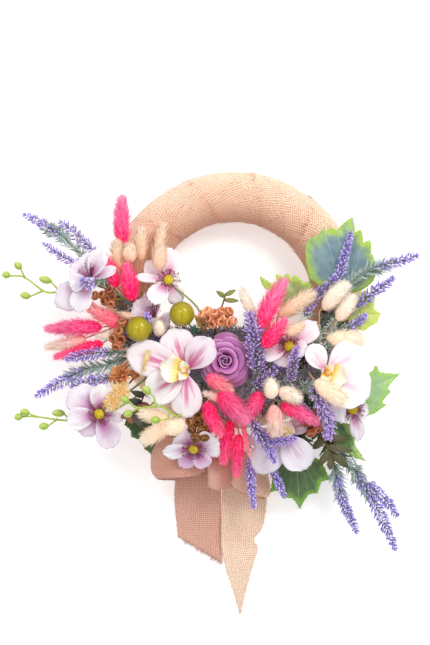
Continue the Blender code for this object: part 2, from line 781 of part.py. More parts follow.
LEAVES = {
    "leaf_blue_green": dict(
        root=(338, 316), base=(346, 292), height=62, tip_height=58,
        tip=(352.7, 217.3), stalk=[((341, 306), 61.5)],
        outline=[(346, 294), (362, 290), (373, 281.5), (376, 271), (373.5, 257), (371, 254),
                 (370.3, 240.3), (363, 243), (361.2, 230), (355, 232), (352.7, 217.3),
                 (345, 222), (337, 230.5), (331, 228.5), (325, 232), (324.8, 227.6),
                 (317.6, 236), (310, 238.5), (305.5, 246), (305.5, 259), (309, 278),
                 (318, 285.5), (330, 289)]),
    "leaf_lime_top": dict(
        root=(317, 338), base=(304, 304), height=56, tip_height=55,
        tip=(283, 273), stalk=[((311, 326), 58)],
        outline=[(306, 308), (311.5, 299), (311, 281.5), (303, 283), (299, 278),
                 (295.2, 275.5), (291, 279), (287.9, 273.6), (283, 277), (275.8, 274.2),
                 (277, 281), (272, 284), (259.4, 276), (264, 288), (272, 291), (276, 304),
                 (288, 309)]),
    "leaf_yellow_right": dict(
        root=(335, 327), base=(349, 316), height=60.5, tip_height=54,
        tip=(381.2, 313), stalk=[],
        outline=[(347, 318), (352, 303), (360, 293), (364.8, 289.4), (368, 293), (371, 292.4),
                 (375, 298), (374.5, 309.4), (381.2, 313), (377, 322.7), (363.6, 331.2),
                 (354, 329)]),
    "leaf_ivy": dict(
        root=(320, 367), base=(358, 392), height=57, tip_height=52,
        tip=(400.6, 373.6), stalk=[((340, 380), 58.5)],
        outline=[(356, 394), (363, 376), (371.5, 371.2), (374.5, 365.2), (378, 366),
                 (379.4, 371.8), (400.6, 373.6), (388, 387), (391, 391.8), (382.4, 401.5),
                 (386.7, 405.2), (374.5, 413.6), (363.6, 417.9), (365, 403)]),
    "leaf_bottom": dict(
        root=(266, 405), base=(296, 452), height=42, tip_height=22,
        tip=(300, 510), stalk=[((271, 414), 60), ((288, 440), 51)],
        outline=[(295, 450), (310, 454), (322, 461), (326, 470), (331, 480), (322, 482),
                 (318, 494), (309, 495), (300, 510), (293, 499), (283, 499), (279, 491),
                 (270, 493), (272, 478), (276, 463), (286, 454)]),
    "leaf_lower_right": dict(
        root=(310, 379), base=(333, 419), height=52, tip_height=40,
        tip=(367.3, 462.1), stalk=[((322, 400), 57)],
        outline=[(332, 417), (343, 420), (350, 424), (352, 433), (356, 437), (354.5, 442.7),
                 (357, 449), (367.3, 462.1), (355, 458.5), (345, 452), (336, 444), (333, 432)]),
    "leaf_lower_left": dict(
        root=(168, 388), base=(140, 415), height=49, tip_height=40,
        tip=(151, 455), stalk=[((161, 395), 60.3), ((148, 408), 54)],
        outline=[(142, 413), (152, 420), (154, 432), (151, 438), (155, 445), (151, 455),
                 (144, 449), (140, 441), (131, 437), (130, 430), (124, 425), (126, 418),
                 (132, 414)]),
}


def build_leaves():
    for name, spec in LEAVES.items():
        base = place(spec["base"], spec["height"])
        tip = place(spec["tip"], spec["tip_height"])
        rib = (tip - base).to_2d()
        length = rib.length
        rib = rib / length
        across = Vector((-rib.y, rib.x))

        def height(x, y, base=base, tip=tip, rib=rib, across=across, length=length):
            away = Vector((x - base.x, y - base.y))
            along = away.dot(rib) / length
            fold = abs(away.dot(across)) / length
            drop = mix(base.z, tip.z, along) + 2.5 * MM * math.sin(math.pi * min(max(along, 0), 1))
            return drop + 5 * MM * fold * (1 - fold)

        outline = [place(pixel, 0) for pixel in spec["outline"]]
        inner = [mix(base, tip, share) for share in (0.3, 0.6)]
        shapes = [plate(outline, inner, height, LEAF_THICKNESS)]
        route = [place(*spot) for spot in spec["stalk"]]
        inside = mix(base, tip, 0.06)
        inside.z = height(inside.x, inside.y)
        shapes.append(stem(spec["root"], route + [inside], 1.0 * MM, 0.9 * MM))
        fuse(name, shapes, "leaf", spec["root"])


# Small leafy sprays


def nearest_on(path, spot):
    """The point of a stem nearest to a place, kept a little short of the stem's ends."""
    found = []
    for low, high in zip(path, path[1:]):
        share = (spot - low).dot(high - low) / (high - low).length_squared
        found.append(mix(low, high, min(max(share, 0.05), 0.9)))
    return min(found, key=lambda near: (near - spot).length)


def build_small_sprays():
    up = Vector((0, 0, 1))
    rng = random.Random(3)
    dark = dict(
        stem=[((302, 399), 61), ((309, 415), 59), ((324, 442), 56), ((333.3, 454.8), 53)],
        leaves=[((321, 436), (349.7, 439.7), 57), ((326, 446), (353.3, 451.5), 54),
                ((322, 440), (312.7, 449), 56), ((329, 450), (318.8, 466), 52),
                ((333, 455), (329.7, 470), 51), ((331, 452), (348.5, 468), 52)])
    path = [place(*spot) for spot in dark["stem"]]
    shapes = [stem((297, 390), path, 1.2 * MM)]
    for base, tip, height in dark["leaves"]:
        start, end = place(base, height), place(tip, height - 3)
        shapes.append(spindle(nearest_on(path, start), end, up, 8.5 * MM, 1.6 * MM))
    pods = dict(root=(297, 390), knot=((309, 415), 59), height=66, size=8.5,
                pods=[(305, 424), (313, 427), (313, 436), (319, 412)])
    fuse("dark_leaf_spray", shapes + pod_bunch(pods, rng)[1:], "dark leaf", pods["root"])


def olive_leaves():
    up = Vector((0, 0, 1))
    path = [place(*spot) for spot in (((216, 322), 72), ((222, 306), 72), ((226, 293), 72))]
    shapes = [branch(path, 1.1 * MM, 1.0 * MM, 4)]
    for base, tip in (((225, 297), (216, 291)), ((225.5, 295), (236, 290)),
                      ((224.5, 300), (239, 301))):
        shapes.append(spindle(place(base, 72), place(tip, 73), up, 5 * MM, 1.6 * MM))
    return shapes


# Lavender

LAVENDER = {
    "lavender_upper_left": dict(root=(123, 310), sprays=[
        dict(stem=[((110, 290), 61.2), ((90, 262), 58), ((62, 237), 57)], leaves=2,
             spike=[((60, 235), 57), ((42, 224), 57), ((24, 214), 56)], width=11),
        dict(stem=[((112, 282), 60.6)], leaves=1,
             spike=[((96, 254), 58), ((79, 237), 58), ((60, 221), 57)], width=12),
        dict(stem=[((105, 289), 62)], leaves=1,
             spike=[((78, 265), 57), ((60, 255), 57), ((43, 243), 56)], width=10),
        dict(stem=[((114, 294), 63), ((107.5, 282), 68), ((106, 280.5), 84), ((104, 281), 89)],
             spike=[((98, 282.5), 91), ((90, 283), 91.5), ((80, 281), 91)], width=12,
             leaves=0),
    ]),
    "lavender_left": dict(root=(141, 351), sprays=[
        dict(stem=[((127, 353), 66), ((110, 352), 70)], leaves=1,
             spike=[((110, 352), 70), ((88, 354), 71), ((66, 359), 70)], width=12),
        dict(stem=[((127, 358), 61), ((103, 366), 61), ((84, 370), 60)], leaves=3,
             spike=[((84, 370), 60), ((60, 382), 59), ((36, 396), 58)], width=12),
        dict(stem=[((128, 366), 60), ((111, 377), 60)], leaves=1,
             spike=[((111, 377), 60), ((91, 381), 59), ((71, 387), 58)], width=12),
    ]),
    "lavender_right": dict(root=(322, 325), sprays=[
        dict(stem=[((315, 314), 70)], leaves=0,
             spike=[((304, 315), 71), ((318, 295), 72), ((337, 277), 72), ((345, 255), 71),
                    ((351, 232), 69)], width=11),
        dict(stem=[((338, 301), 68), ((352, 282), 70), ((370, 269.5), 70)], leaves=2,
             spike=[((374, 268), 69), ((396, 262), 67), ((417, 256), 66)], width=12),
        dict(stem=[((338, 316), 67)], leaves=1,
             spike=[((354, 306), 68), ((374, 292), 68), ((394, 278), 66)], width=12),
        dict(stem=[((338, 327), 67)], leaves=0,
             spike=[((348, 328), 68), ((357, 322), 68), ((366, 315), 67)], width=10),
    ]),
    "lavender_middle": dict(root=(262, 383), sprays=[
        dict(stem=[((256, 378), 70)], leaves=0,
             spike=[((257, 373), 78), ((256, 352), 87), ((253, 332), 89), ((249, 313), 89)],
             width=17),
        dict(stem=[((255, 387), 66)], leaves=0,
             spike=[((254, 387), 68), ((266, 377), 72), ((279, 366), 72)], width=11),
        dict(stem=[((275, 384), 64)], leaves=1,
             spike=[((290, 382), 74), ((293, 363), 87), ((296, 347), 93)], width=11),
    ]),
    "lavender_lower_right": dict(root=(300, 380), sprays=[
        dict(stem=[((304, 384), 76)], leaves=2,
             spike=[((311, 386), 84), ((321, 403), 90), ((328, 420), 86), ((328, 438), 78)],
             width=14),
        dict(stem=[((300, 392), 72)], leaves=0,
             spike=[((298, 401), 73), ((306, 410), 72), ((313, 419), 70)], width=9.5),
    ]),
    "lavender_lower": dict(root=(247, 409), sprays=[
        dict(stem=[((250, 414), 74)], leaves=0,
             spike=[((251, 418), 78), ((259, 434), 79), ((268, 448), 75), ((275, 462), 70)],
             width=12),
        dict(stem=[((255, 427), 73)], leaves=0,
             spike=[((262, 437), 74.5), ((278, 441), 75), ((296, 438), 76)], width=10),
        dict(stem=[((244.5, 416), 61), ((247, 438), 57)], leaves=0,
             spike=[((250, 455), 53), ((251, 482), 49), ((254, 508), 45)], width=10),
        dict(stem=[((252, 416), 62), ((259, 446), 56)], leaves=0,
             spike=[((266, 458), 52), ((276, 478), 49), ((284, 496), 46)], width=10),
    ]),
    "lavender_lower_far_right": dict(root=(304, 386), sprays=[
        dict(stem=[((309, 394), 60.5), ((320, 430), 46), ((334, 466), 37)], leaves=2,
             spike=[((336, 474), 36), ((344, 504), 32), ((357, 533), 27)], width=11),
        dict(stem=[((311, 393), 60.5), ((334, 440), 44), ((352, 468), 41)], leaves=2,
             spike=[((355, 471), 42), ((377, 508), 35), ((396, 550), 26)], width=13),
        dict(stem=[((313, 392), 60.5), ((332, 424), 48), ((352, 457), 40)], leaves=0,
             spike=[((368, 482), 42), ((384, 498), 38), ((398, 516), 34)], width=11),
    ]),
}


def build_lavender():
    rng = random.Random(21)
    for name, spec in LAVENDER.items():
        shapes = [stub(spec["root"])]
        for k, spray in enumerate(spec["sprays"]):
            path = from_stub(spec["root"], [place(*spot) for spot in spray["stem"]], k)
            spike = [place(*spot) for spot in spray["spike"]]
            length = sum((b - a).length for a, b in zip(spike, spike[1:]))
            rings = max(5, round(length / RING_SPACING))
            if (path[-1] - spike[0]).length < 2 * MM:
                path.pop()
            shapes.append(lavender_stalk(path, spike, spray["width"] * MM, rings))
            shapes += stem_leaves(path[1:] + spike[:1], spray["leaves"], 11 * MM, rng)
        fuse(name, shapes, "lavender", spec["root"])


# Bunny tails: each is (base, tip, base height, tip height, width, points of its stem). The
# stem of a perched one enters it from below.

TAILS = {
    "bunny_tails_pink_upper_left": dict(colour="pink", root=(137, 303), tails=[
        ((123, 244), (122.5, 197), 59, 58, 17, [((130, 285), 58)]),
        ((117, 287), (105, 257), 72, 75, 13, [((128, 297), 66)]),
        ((133, 300), (126, 265), 76, 82, 17, [((129.5, 300), 64), ((128, 300), 71)]),
    ]),
    "bunny_tails_pink_left": dict(colour="pink", root=(127, 319), tails=[
        ((120, 325), (87, 305), 72, 75, 15, []),
        ((102, 327), (46, 329), 70, 66, 16, [((114, 325), 67)]),
        ((84, 338), (46, 346), 62, 60, 12, [((112, 328), 62)]),
        ((100, 344), (55, 356), 63, 61, 12, [((116, 332), 62)]),
    ]),
    "bunny_tails_pink_middle": dict(colour="pink", root=(222, 398), tails=[
        ((207, 376), (231, 390), 88, 90, 15, [((212, 388), 72)]),
        ((219, 393), (246, 422), 90, 92, 20, [((218, 394), 76)]),
        ((206, 402), (221, 434), 86, 88, 15, [((214, 398), 72)]),
        ((261, 392), (245, 419), 84, 87, 15, [((235, 402), 70), ((258, 396), 78)]),
    ]),
    "bunny_tails_pink_bottom": dict(colour="pink", root=(231, 408), tails=[
        ((231, 421), (224, 463), 66, 58, 14, []),
        ((239, 434), (237, 476), 66, 58, 13, [((236, 420), 66)]),
        ((242, 424), (250, 458), 73, 68, 5, [((238, 414), 68)]),
    ]),
    "bunny_tails_pink_right": dict(colour="pink", root=(264, 352), tails=[
        ((260, 327), (285, 281), 84, 88, 17, [((262, 338), 72)]),
        ((264, 345), (284, 321), 92, 96, 14, [((264, 350), 76)]),
    ]),
    "bunny_tails_pink_lower_right": dict(colour="pink", root=(284, 392), tails=[
        ((281, 404), (318, 421), 84, 82, 15, [((282, 398), 74)]),
    ]),
    "bunny_tails_cream_upper_left": dict(colour="cream", root=(141, 313), tails=[
        ((119, 267), (115, 242), 67, 66, 10, [((132, 306), 61.9), ((123, 284), 63.2)]),
        ((130, 262), (131, 244), 74, 76, 16, [((140, 300), 63), ((136, 276), 68)]),
        ((141, 261), (141, 229), 66, 66, 12, [((143, 295), 62)]),
        ((156, 262), (163, 224), 60, 60, 11, [((148, 290), 60)]),
        ((134, 317.5), (119, 313.5), 66, 66, 8, [((138.5, 315.5), 62.5)]),
    ], perched=[((159, 270), (161, 247), 85, 87, 15, [((147, 292), 62), ((157.5, 258), 66)])]),
    "bunny_tails_cream_left": dict(colour="cream", root=(163, 343), tails=[
        ((160, 335), (158, 321), 70, 82, 13, [((162, 340), 62)]),
    ]),
    "bunny_tails_cream_lower_left": dict(colour="cream", root=(190, 402), tails=[
        ((170, 420), (139, 412), 66, 66, 14, [((182, 411), 64)]),
        ((172, 424), (143, 442), 64, 58, 15, [((183, 413), 62)]),
        ((185, 423), (166, 427), 76, 78, 17, [((189, 411), 68)]),
    ]),
    "bunny_tails_cream_right": dict(colour="cream", root=(320, 345), tails=[
        ((325, 307), (350, 282), 82, 84, 16, [((319, 340), 74), ((319, 312), 82)]),
        ((337, 320), (353, 296), 78, 80, 15, [((322, 340), 70), ((333, 324), 77)]),
        ((327, 337), (366, 339), 67, 66, 14, [((322, 341), 63)]),
    ]),
    "bunny_tails_cream_middle": dict(colour="cream", root=(275, 338), tails=[
        ((278, 316), (314, 292), 76, 78, 15, [((276, 325), 68)]),
        ((287, 334), (303, 325), 94, 96, 12, [((278, 336), 76)]),
        ((255, 319), (241, 289), 72, 76, 9, [((266, 330), 64)]),
    ]),
    "bunny_tails_cream_orchid": dict(colour="cream", root=(309, 370), tails=[
        ((315, 381), (346, 401), 95, 99, 16, [((309, 373), 80)]),
    ]),
    "bunny_tails_cream_centre": dict(colour="cream", root=(272, 396), tails=[
        ((271, 398), (270, 379), 93, 97, 16, [((272, 399), 82)]),
        ((279, 390), (300, 399), 92, 95, 16, [((274, 396), 80)]),
        ((273, 405), (276, 435), 90, 92, 16, [((273, 400), 80)]),
    ]),
}


def build_tails():
    for name, spec in TAILS.items():
        shapes = [stub(spec["root"])]
        for k, (base, tip, base_height, tip_height, width, route) in enumerate(spec["tails"]):
            low, high = place(base, base_height), place(tip, tip_height)
            path = from_stub(spec["root"], [place(*spot) for spot in route] or [low], k)
            if not route:
                path.pop()
            shapes.append(tail(path, low, high, width * MM))
        for base, tip, base_height, tip_height, width, route in spec.get("perched", []):
            low, high = place(base, base_height), place(tip, tip_height)
            path = from_stub(spec["root"], [place(*spot) for spot in route], len(spec["tails"]))
            shapes.append(branch(path + [mix(low, high, 0.5)], 0.9 * MM))
            shapes.append(tail([], low, high, width * MM))
        fuse(name, shapes, spec["colour"], spec["root"])


# Straw flowers and a dried plume

STRAW = dict(root=(148, 366), brown=(122, 376), golden=(119, 396), height=70)


def straw_flower(centre, radius, rng):
    """Papery bracts in two layers round a small button."""
    up = Vector((0, 0, 1))
    shapes = [tube([centre - up * 3 * MM, centre + up * 4 * MM], [4.4 * MM, 3.4 * MM], 6)]
    for count, reach, low, high in ((5, 1.0, -1.0, 1.0), (4, 0.62, 2.6, 7.0)):
        for k in range(count):
            angle = 2 * math.pi * (k + 0.5 * (count % 2)) / count + rng.uniform(-0.06, 0.06)
            out = Vector((math.cos(angle), math.sin(angle), 0))
            tip = centre + out * radius * reach * rng.uniform(0.92, 1.1) + up * high * MM
            base = centre + out * 2.6 * MM + up * low * MM
            shapes.append(spindle(base, tip, up, 6.4 * MM, 1.4 * MM))
    return shapes


def build_straw_flowers():
    rng = random.Random(8)
    shapes = []
    for key, radius in (("brown", 11.5), ("golden", 13.5)):
        shapes += straw_flower(place(STRAW[key], STRAW["height"]), radius * MM, rng)
    brown, golden = (place(STRAW[key], STRAW["height"]) for key in ("brown", "golden"))
    shapes.insert(0, stem(STRAW["root"], [place((139, 373), 64), brown - Vector((0, 0, 2 * MM))]))
    shapes.append(branch([place((137, 374), 65), golden - Vector((0, 0, 2 * MM))], 1.0 * MM))
    fuse("straw_flowers", shapes, "golden", STRAW["root"])


# Ring, foam and bow


def build_ring():
    steps = LAPS * STEPS_PER_LAP
    outer_turns = [270 + SLIT, 270 + FLAT, 329, 10, 50, 90, 130, 170, 211, 270 - FLAT, 270 - SLIT]
    core_turns = [270, 198, 126, 54, 342]
    inner_turns = [270 - SLIT] + core_turns[1:] + [270 + SLIT]
    points, faces, core_points, core_faces = [], [], [], []
    section = len(outer_turns) + len(inner_turns)
    for i in range(steps):
        theta = 2 * math.pi * i / steps
        out = Vector((math.cos(theta), math.sin(theta), 0))

        def spot(radius, turn, out=out):
            angle = math.radians(turn)
            place_out = RING_RADIUS + radius * math.cos(angle)
            return out * place_out + Vector((0, 0, TUBE_HEIGHT + radius * math.sin(angle)))

        for turn in outer_turns:
            slant = ((turn + 90) % 360) / 360
            lap = (i / STEPS_PER_LAP + slant) % 1
            point = spot(TUBE_RADIUS + LAP_RISE * (lap - 0.5), turn)
            if abs((turn - 90) % 360 - 180) <= FLAT:
                point = spot(TUBE_RADIUS, turn)
                point.z = 0
            points.append(point)
        for turn in inner_turns:
            points.append(spot(WRAP_INSIDE, turn))
        core_points += [spot(CORE_RADIUS, turn) for turn in core_turns]
        following = (i + 1) % steps
        for k in range(section):
            after = (k + 1) % section
            faces.append((i * section + k, following * section + k,
                          following * section + after, i * section + after))
        for k in range(5):
            after = (k + 1) % 5
            core_faces.append((i * 5 + k, following * 5 + k, following * 5 + after,
                               i * 5 + after))
    fuse("ring_wrap", [(points, faces)], "burlap")
    fuse("ring_core", [(core_points, core_faces)], "straw")


def build_foam():
    """The foam saddles the ring's front and fills the lower part of its hole."""
    turns = [PAD_LEFT_END + turn for turn in PAD_SECTIONS]
    turns += [540 - turn for turn in turns[-2::-1]]
    steps = len(turns) - 1
    saddle = (TUBE_RADIUS + LAP_RISE / 2 + GAP) * 1.06
    points, faces = [], []
    for turn in turns:
        theta = math.radians(turn)
        out = Vector((math.cos(theta), math.sin(theta), 0))
        edge = PAD_UPPER_EDGE / max(-math.sin(theta), 0.01)
        inner = min(PAD_WIDEST_INNER, edge)
        reaches_over = inner < RING_RADIUS - saddle * 0.95
        end = 165 if reaches_over else math.degrees(math.acos((inner - RING_RADIUS) / saddle))
        profile = []
        for share in (0, 0.33, 0.67, 1):
            angle = math.radians(mix(62, end, share))
            profile.append((RING_RADIUS + saddle * math.cos(angle),
                            TUBE_HEIGHT + saddle * math.sin(angle)))
        low = profile[-1][1]
        if reaches_over:
            profile += [(profile[-1][0] - MM, PAD_BOTTOM), (inner, PAD_BOTTOM)]
        else:
            profile += [(inner, mix(low, PAD_TOP, 0.33)), (inner, mix(low, PAD_TOP, 0.67))]
        profile += [(inner, PAD_TOP), (PAD_OUTER, PAD_TOP)]
        for radius, height in profile:
            points.append(out * radius + Vector((0, 0, height)))
    section = 8
    for i in range(steps):
        for k in range(section):
            after = (k + 1) % section
            a, b = i * section + k, i * section + after
            c, d = a + section, b + section
            faces += [(a, b, d), (a, d, c)]
    for start in (0, steps * section):
        corners = [start + k for k in range(section)]
        faces.append(tuple(corners[::-1]) if start == 0 else tuple(corners))
    obj = add_object("foam_pad", (points, faces), bpy.context.scene.collection)
    cutters = bpy.data.collections.new("stem holes")
    bpy.context.scene.collection.children.link(cutters)
    for spot, radius in stem_holes:
        low = Vector((spot.x, spot.y, PAD_TOP - HOLE_DEPTH))
        high = Vector((spot.x, spot.y, PAD_TOP + HOLE_RISE))
        wide = radius + HOLE_CLEARANCE
        add_object("stem hole", tube([low, high], [wide, wide], 4), cutters)
    holes = obj.modifiers.new("Stem holes", "BOOLEAN")
    holes.operation = "DIFFERENCE"
    holes.operand_type = "COLLECTION"
    holes.collection = cutters
    apply_modifiers(obj)
    for cutter in list(cutters.objects):
        bpy.data.objects.remove(cutter)
    bpy.data.collections.remove(cutters)
    keep_main_body(obj)
    finish(obj, "foam", Vector())


# Each ribbon of the bow: its run along the middle, and the direction across it

BOW_LOOPS = [
    dict(run=[((212, 451), 30), ((204, 453), 42), ((190, 456), 45), ((168, 459), 43),
              ((154, 460), 34), ((154, 461), 24), ((170, 461), 16), ((190, 460), 14),
              ((212, 457), 22)],
         across=(0.10, 1.0), width=44),
    dict(run=[((219, 446), 28), ((219, 456), 40), ((219, 470), 44), ((219, 484), 40),
              ((219, 488), 32), ((219, 478), 26), ((219, 462), 26)],
         across=(1.0, 0.0), width=22),
    dict(run=[((216, 452), 30), ((226, 460), 34), ((236, 463), 34), ((250, 473), 33),
              ((264, 482), 27), ((264, 484), 17), ((250, 478), 12), ((228, 466), 14),
              ((216, 458), 24)],
         across=(-0.35, 1.0), width=42),
]
BOW_KNOT = dict(top=((216, 453), 34), bottom=((216, 457), 18), radius=11)
BOW_WIRE = dict(root=(214.5, 411), route=[((215, 417), 60.4), ((216, 436), 50), ((216, 452), 28)])
BOW_TAILS = {  # each row: left edge, right edge, height
    "bow_tail_left": [((180, 458), (221, 458), 12.5), ((175, 484), (221, 484), 11),
                      ((175, 508), (221, 514), 5), ((178, 538), (222, 565), 2)],
    "bow_tail_right": [((222, 472), (266, 480), 10.5), ((222, 499), (267, 499), 9),
                       ((221, 527), (263, 527), 8), ((221, 549), (257, 551), 6),
                       ((223, 567), (253, 567), 5), ((232, 591), (246.5, 590), 3),
                       ((239.5, 613), (241.5, 613), 1.5)],
}


def ribbon(run, across, width):
    """A strip of ribbon along its run."""
    across = Vector((*across, 0)).normalized() * width / 2 * MM
    return blade([[place(*spot) + across * t for t in (-1, 1)] for spot in run], RIBBON)


def build_bow():
    top, bottom = place(*BOW_KNOT["top"]), place(*BOW_KNOT["bottom"])
    radius = BOW_KNOT["radius"] * MM
    knot = tube([bottom, mix(bottom, top, 0.5), top], [radius * 0.8, radius, radius * 0.8], 6)
    loops = [ribbon(spec["run"], spec["across"], spec["width"]) for spec in BOW_LOOPS]
    wire = stem(BOW_WIRE["root"], [place(*spot) for spot in BOW_WIRE["route"]])
    fuse("bow_loops", [knot, wire] + loops, "burlap", BOW_WIRE["root"])
    for name, rows in BOW_TAILS.items():
        grid = [[mix(place(left, height), place(right, height), t) for t in (0, 0.5, 1)]
                for left, right, height in rows]
        fuse(name, [blade(grid, RIBBON)], "burlap")


def main():
    for obj in list(bpy.data.objects):
        bpy.data.objects.remove(obj)
    build_ring()
    build_bow()
    build_leaves()
    build_small_sprays()
    build_lavender()
    build_sprigs()
    build_straw_flowers()
    build_pods()
    build_berries()
    build_rose()
    build_anemones()
    build_orchids()
    build_tails()
    build_foam()
    centre_on_origin()


main()
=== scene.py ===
# The looks of a dried flower wreath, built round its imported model. Each node is replaced by a
# finer piece of the same form: the layout below repeats the places that the model uses.

import math
import random

import bpy
import numpy as np
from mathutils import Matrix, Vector, noise
from mathutils.geometry import delaunay_2d_cdt


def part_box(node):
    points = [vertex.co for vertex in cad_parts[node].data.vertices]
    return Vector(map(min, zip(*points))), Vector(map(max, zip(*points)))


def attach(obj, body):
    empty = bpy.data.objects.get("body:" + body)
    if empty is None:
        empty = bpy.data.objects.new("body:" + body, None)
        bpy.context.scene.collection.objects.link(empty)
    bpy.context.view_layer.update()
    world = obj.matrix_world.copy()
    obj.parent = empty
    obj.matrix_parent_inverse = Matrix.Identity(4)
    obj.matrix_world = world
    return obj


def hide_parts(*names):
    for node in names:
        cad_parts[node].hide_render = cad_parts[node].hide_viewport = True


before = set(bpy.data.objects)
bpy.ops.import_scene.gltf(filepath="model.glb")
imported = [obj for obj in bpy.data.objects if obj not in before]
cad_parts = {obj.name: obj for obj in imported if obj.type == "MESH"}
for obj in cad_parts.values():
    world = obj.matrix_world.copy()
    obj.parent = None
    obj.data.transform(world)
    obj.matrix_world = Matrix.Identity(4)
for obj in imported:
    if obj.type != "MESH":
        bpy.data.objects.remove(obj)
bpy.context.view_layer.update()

# A spot is two photograph pixels and a height in mm. Radii, widths and thicknesses are in mm.
mm = 0.001
pixel = 0.97 * mm             # what one pixel of the photograph spans
photoHeight = 645             # pixels
ringPixel = (233.7, 300.2)    # the ring's centre in the photograph
coreLow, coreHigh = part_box("ring_core")
ringX = (coreLow.x + coreHigh.x) / 2
ringY = (coreLow.y + coreHigh.y) / 2
padTop = 58                   # the foam's top, in mm
stemRoot = padTop - 5         # where stems end in it
up = Vector((0, 0, 1))
circle = 2 * math.pi


def place(x, y, height):
    return Vector((ringX + (x - ringPixel[0]) * pixel,
                   ringY + (ringPixel[1] - y) * pixel, height * mm))


def places(*spots):
    return [place(*spot) for spot in spots]


def mix(a, b, share):
    return a + (b - a) * share


def between(stops, share):
    for (x0, y0), (x1, y1) in zip(stops, stops[1:]):
        if share <= x1:
            return mix(y0, y1, (share - x0) / (x1 - x0))
    return stops[-1][1]


def smoothPath(points, steps):
    ends = [2 * points[0] - points[1], *points, 2 * points[-1] - points[-2]]
    path = []
    for a, b, c, d in zip(ends, ends[1:], ends[2:], ends[3:]):
        for i in range(steps):
            t = i / steps
            path.append(0.5 * (2 * b + (c - a) * t + (2 * a - 5 * b + 4 * c - d) * t * t
                               + (3 * b - a - 3 * c + d) * t * t * t))
    return path + [points[-1].copy()]


def along(path, share):
    # the point at a share of a path, and the path's heading there
    spot = share * (len(path) - 1)
    low = min(int(spot), len(path) - 2)
    return mix(path[low], path[low + 1], spot - low), (path[low + 1] - path[low]).normalized()


def lengthOf(path):
    return sum((b - a).length for a, b in zip(path, path[1:]))


def taper(path, start, end):
    return [mix(start, end, i / (len(path) - 1)) for i in range(len(path))]


def frameOf(axis, hint=up):
    # two directions square to an axis
    if abs(axis.dot(hint)) > 0.98:
        hint = Vector((1, 0, 0))
    side = axis.cross(hint).normalized()
    return side, side.cross(axis).normalized()


def spoke(side, other, angle):
    return side * math.cos(angle) + other * math.sin(angle)


def scatter(rng, low, high):
    return Vector((rng.uniform(-1, 1), rng.uniform(-1, 1), rng.uniform(low, high)))


def tint(colour):
    # a colour as it looks, in six hex digits, made linear; three numbers are linear already
    if isinstance(colour, tuple):
        return (*colour, 1)
    parts = []
    for i in (0, 2, 4):
        value = int(colour[i:i + 2], 16) / 255
        parts.append(value / 12.92 if value < 0.04 else ((value + 0.055) / 1.055) ** 2.4)
    return (*parts, 1)


# Materials: a wrapped socket, so that patterns read as sums

class Value:
    def __init__(self, owner, socket):
        self.owner = owner
        self.socket = socket

    def math(self, kind, *other, flip=False):
        parts = [*other, self] if flip else [self, *other]
        return self.owner.node("ShaderNodeMath", {"operation": kind}, dict(enumerate(parts)))

    def __add__(self, other):
        return self.math("ADD", other)

    def __mul__(self, other):
        return self.math("MULTIPLY", other)

    __radd__ = __add__
    __rmul__ = __mul__

    def __sub__(self, other):
        return self.math("SUBTRACT", other)

    def __rsub__(self, other):
        return self.math("SUBTRACT", other, flip=True)

    def __truediv__(self, other):
        return self.math("DIVIDE", other)

    def __pow__(self, other):
        return self.math("POWER", other)

    def fold(self):
        return self.math("ABSOLUTE")

    def wrap(self):
        return self.math("FRACT")

    def waves(self, count=1.0):
        return (self * (math.pi * count)).math("SINE")

    def lines(self, count):
        # folded waves: 0 on each line
        return self.waves(count).fold()

    def least(self, other):
        return self.math("MINIMUM", other)

    def most(self, other):
        return self.math("MAXIMUM", other)

    def step(self, start, end, low=0.0, high=1.0):
        # low below start, high above end
        return self.owner.node("ShaderNodeMapRange", {"interpolation_type": "SMOOTHSTEP"},
                               {0: self, 1: start, 2: end, 3: low, 4: high})


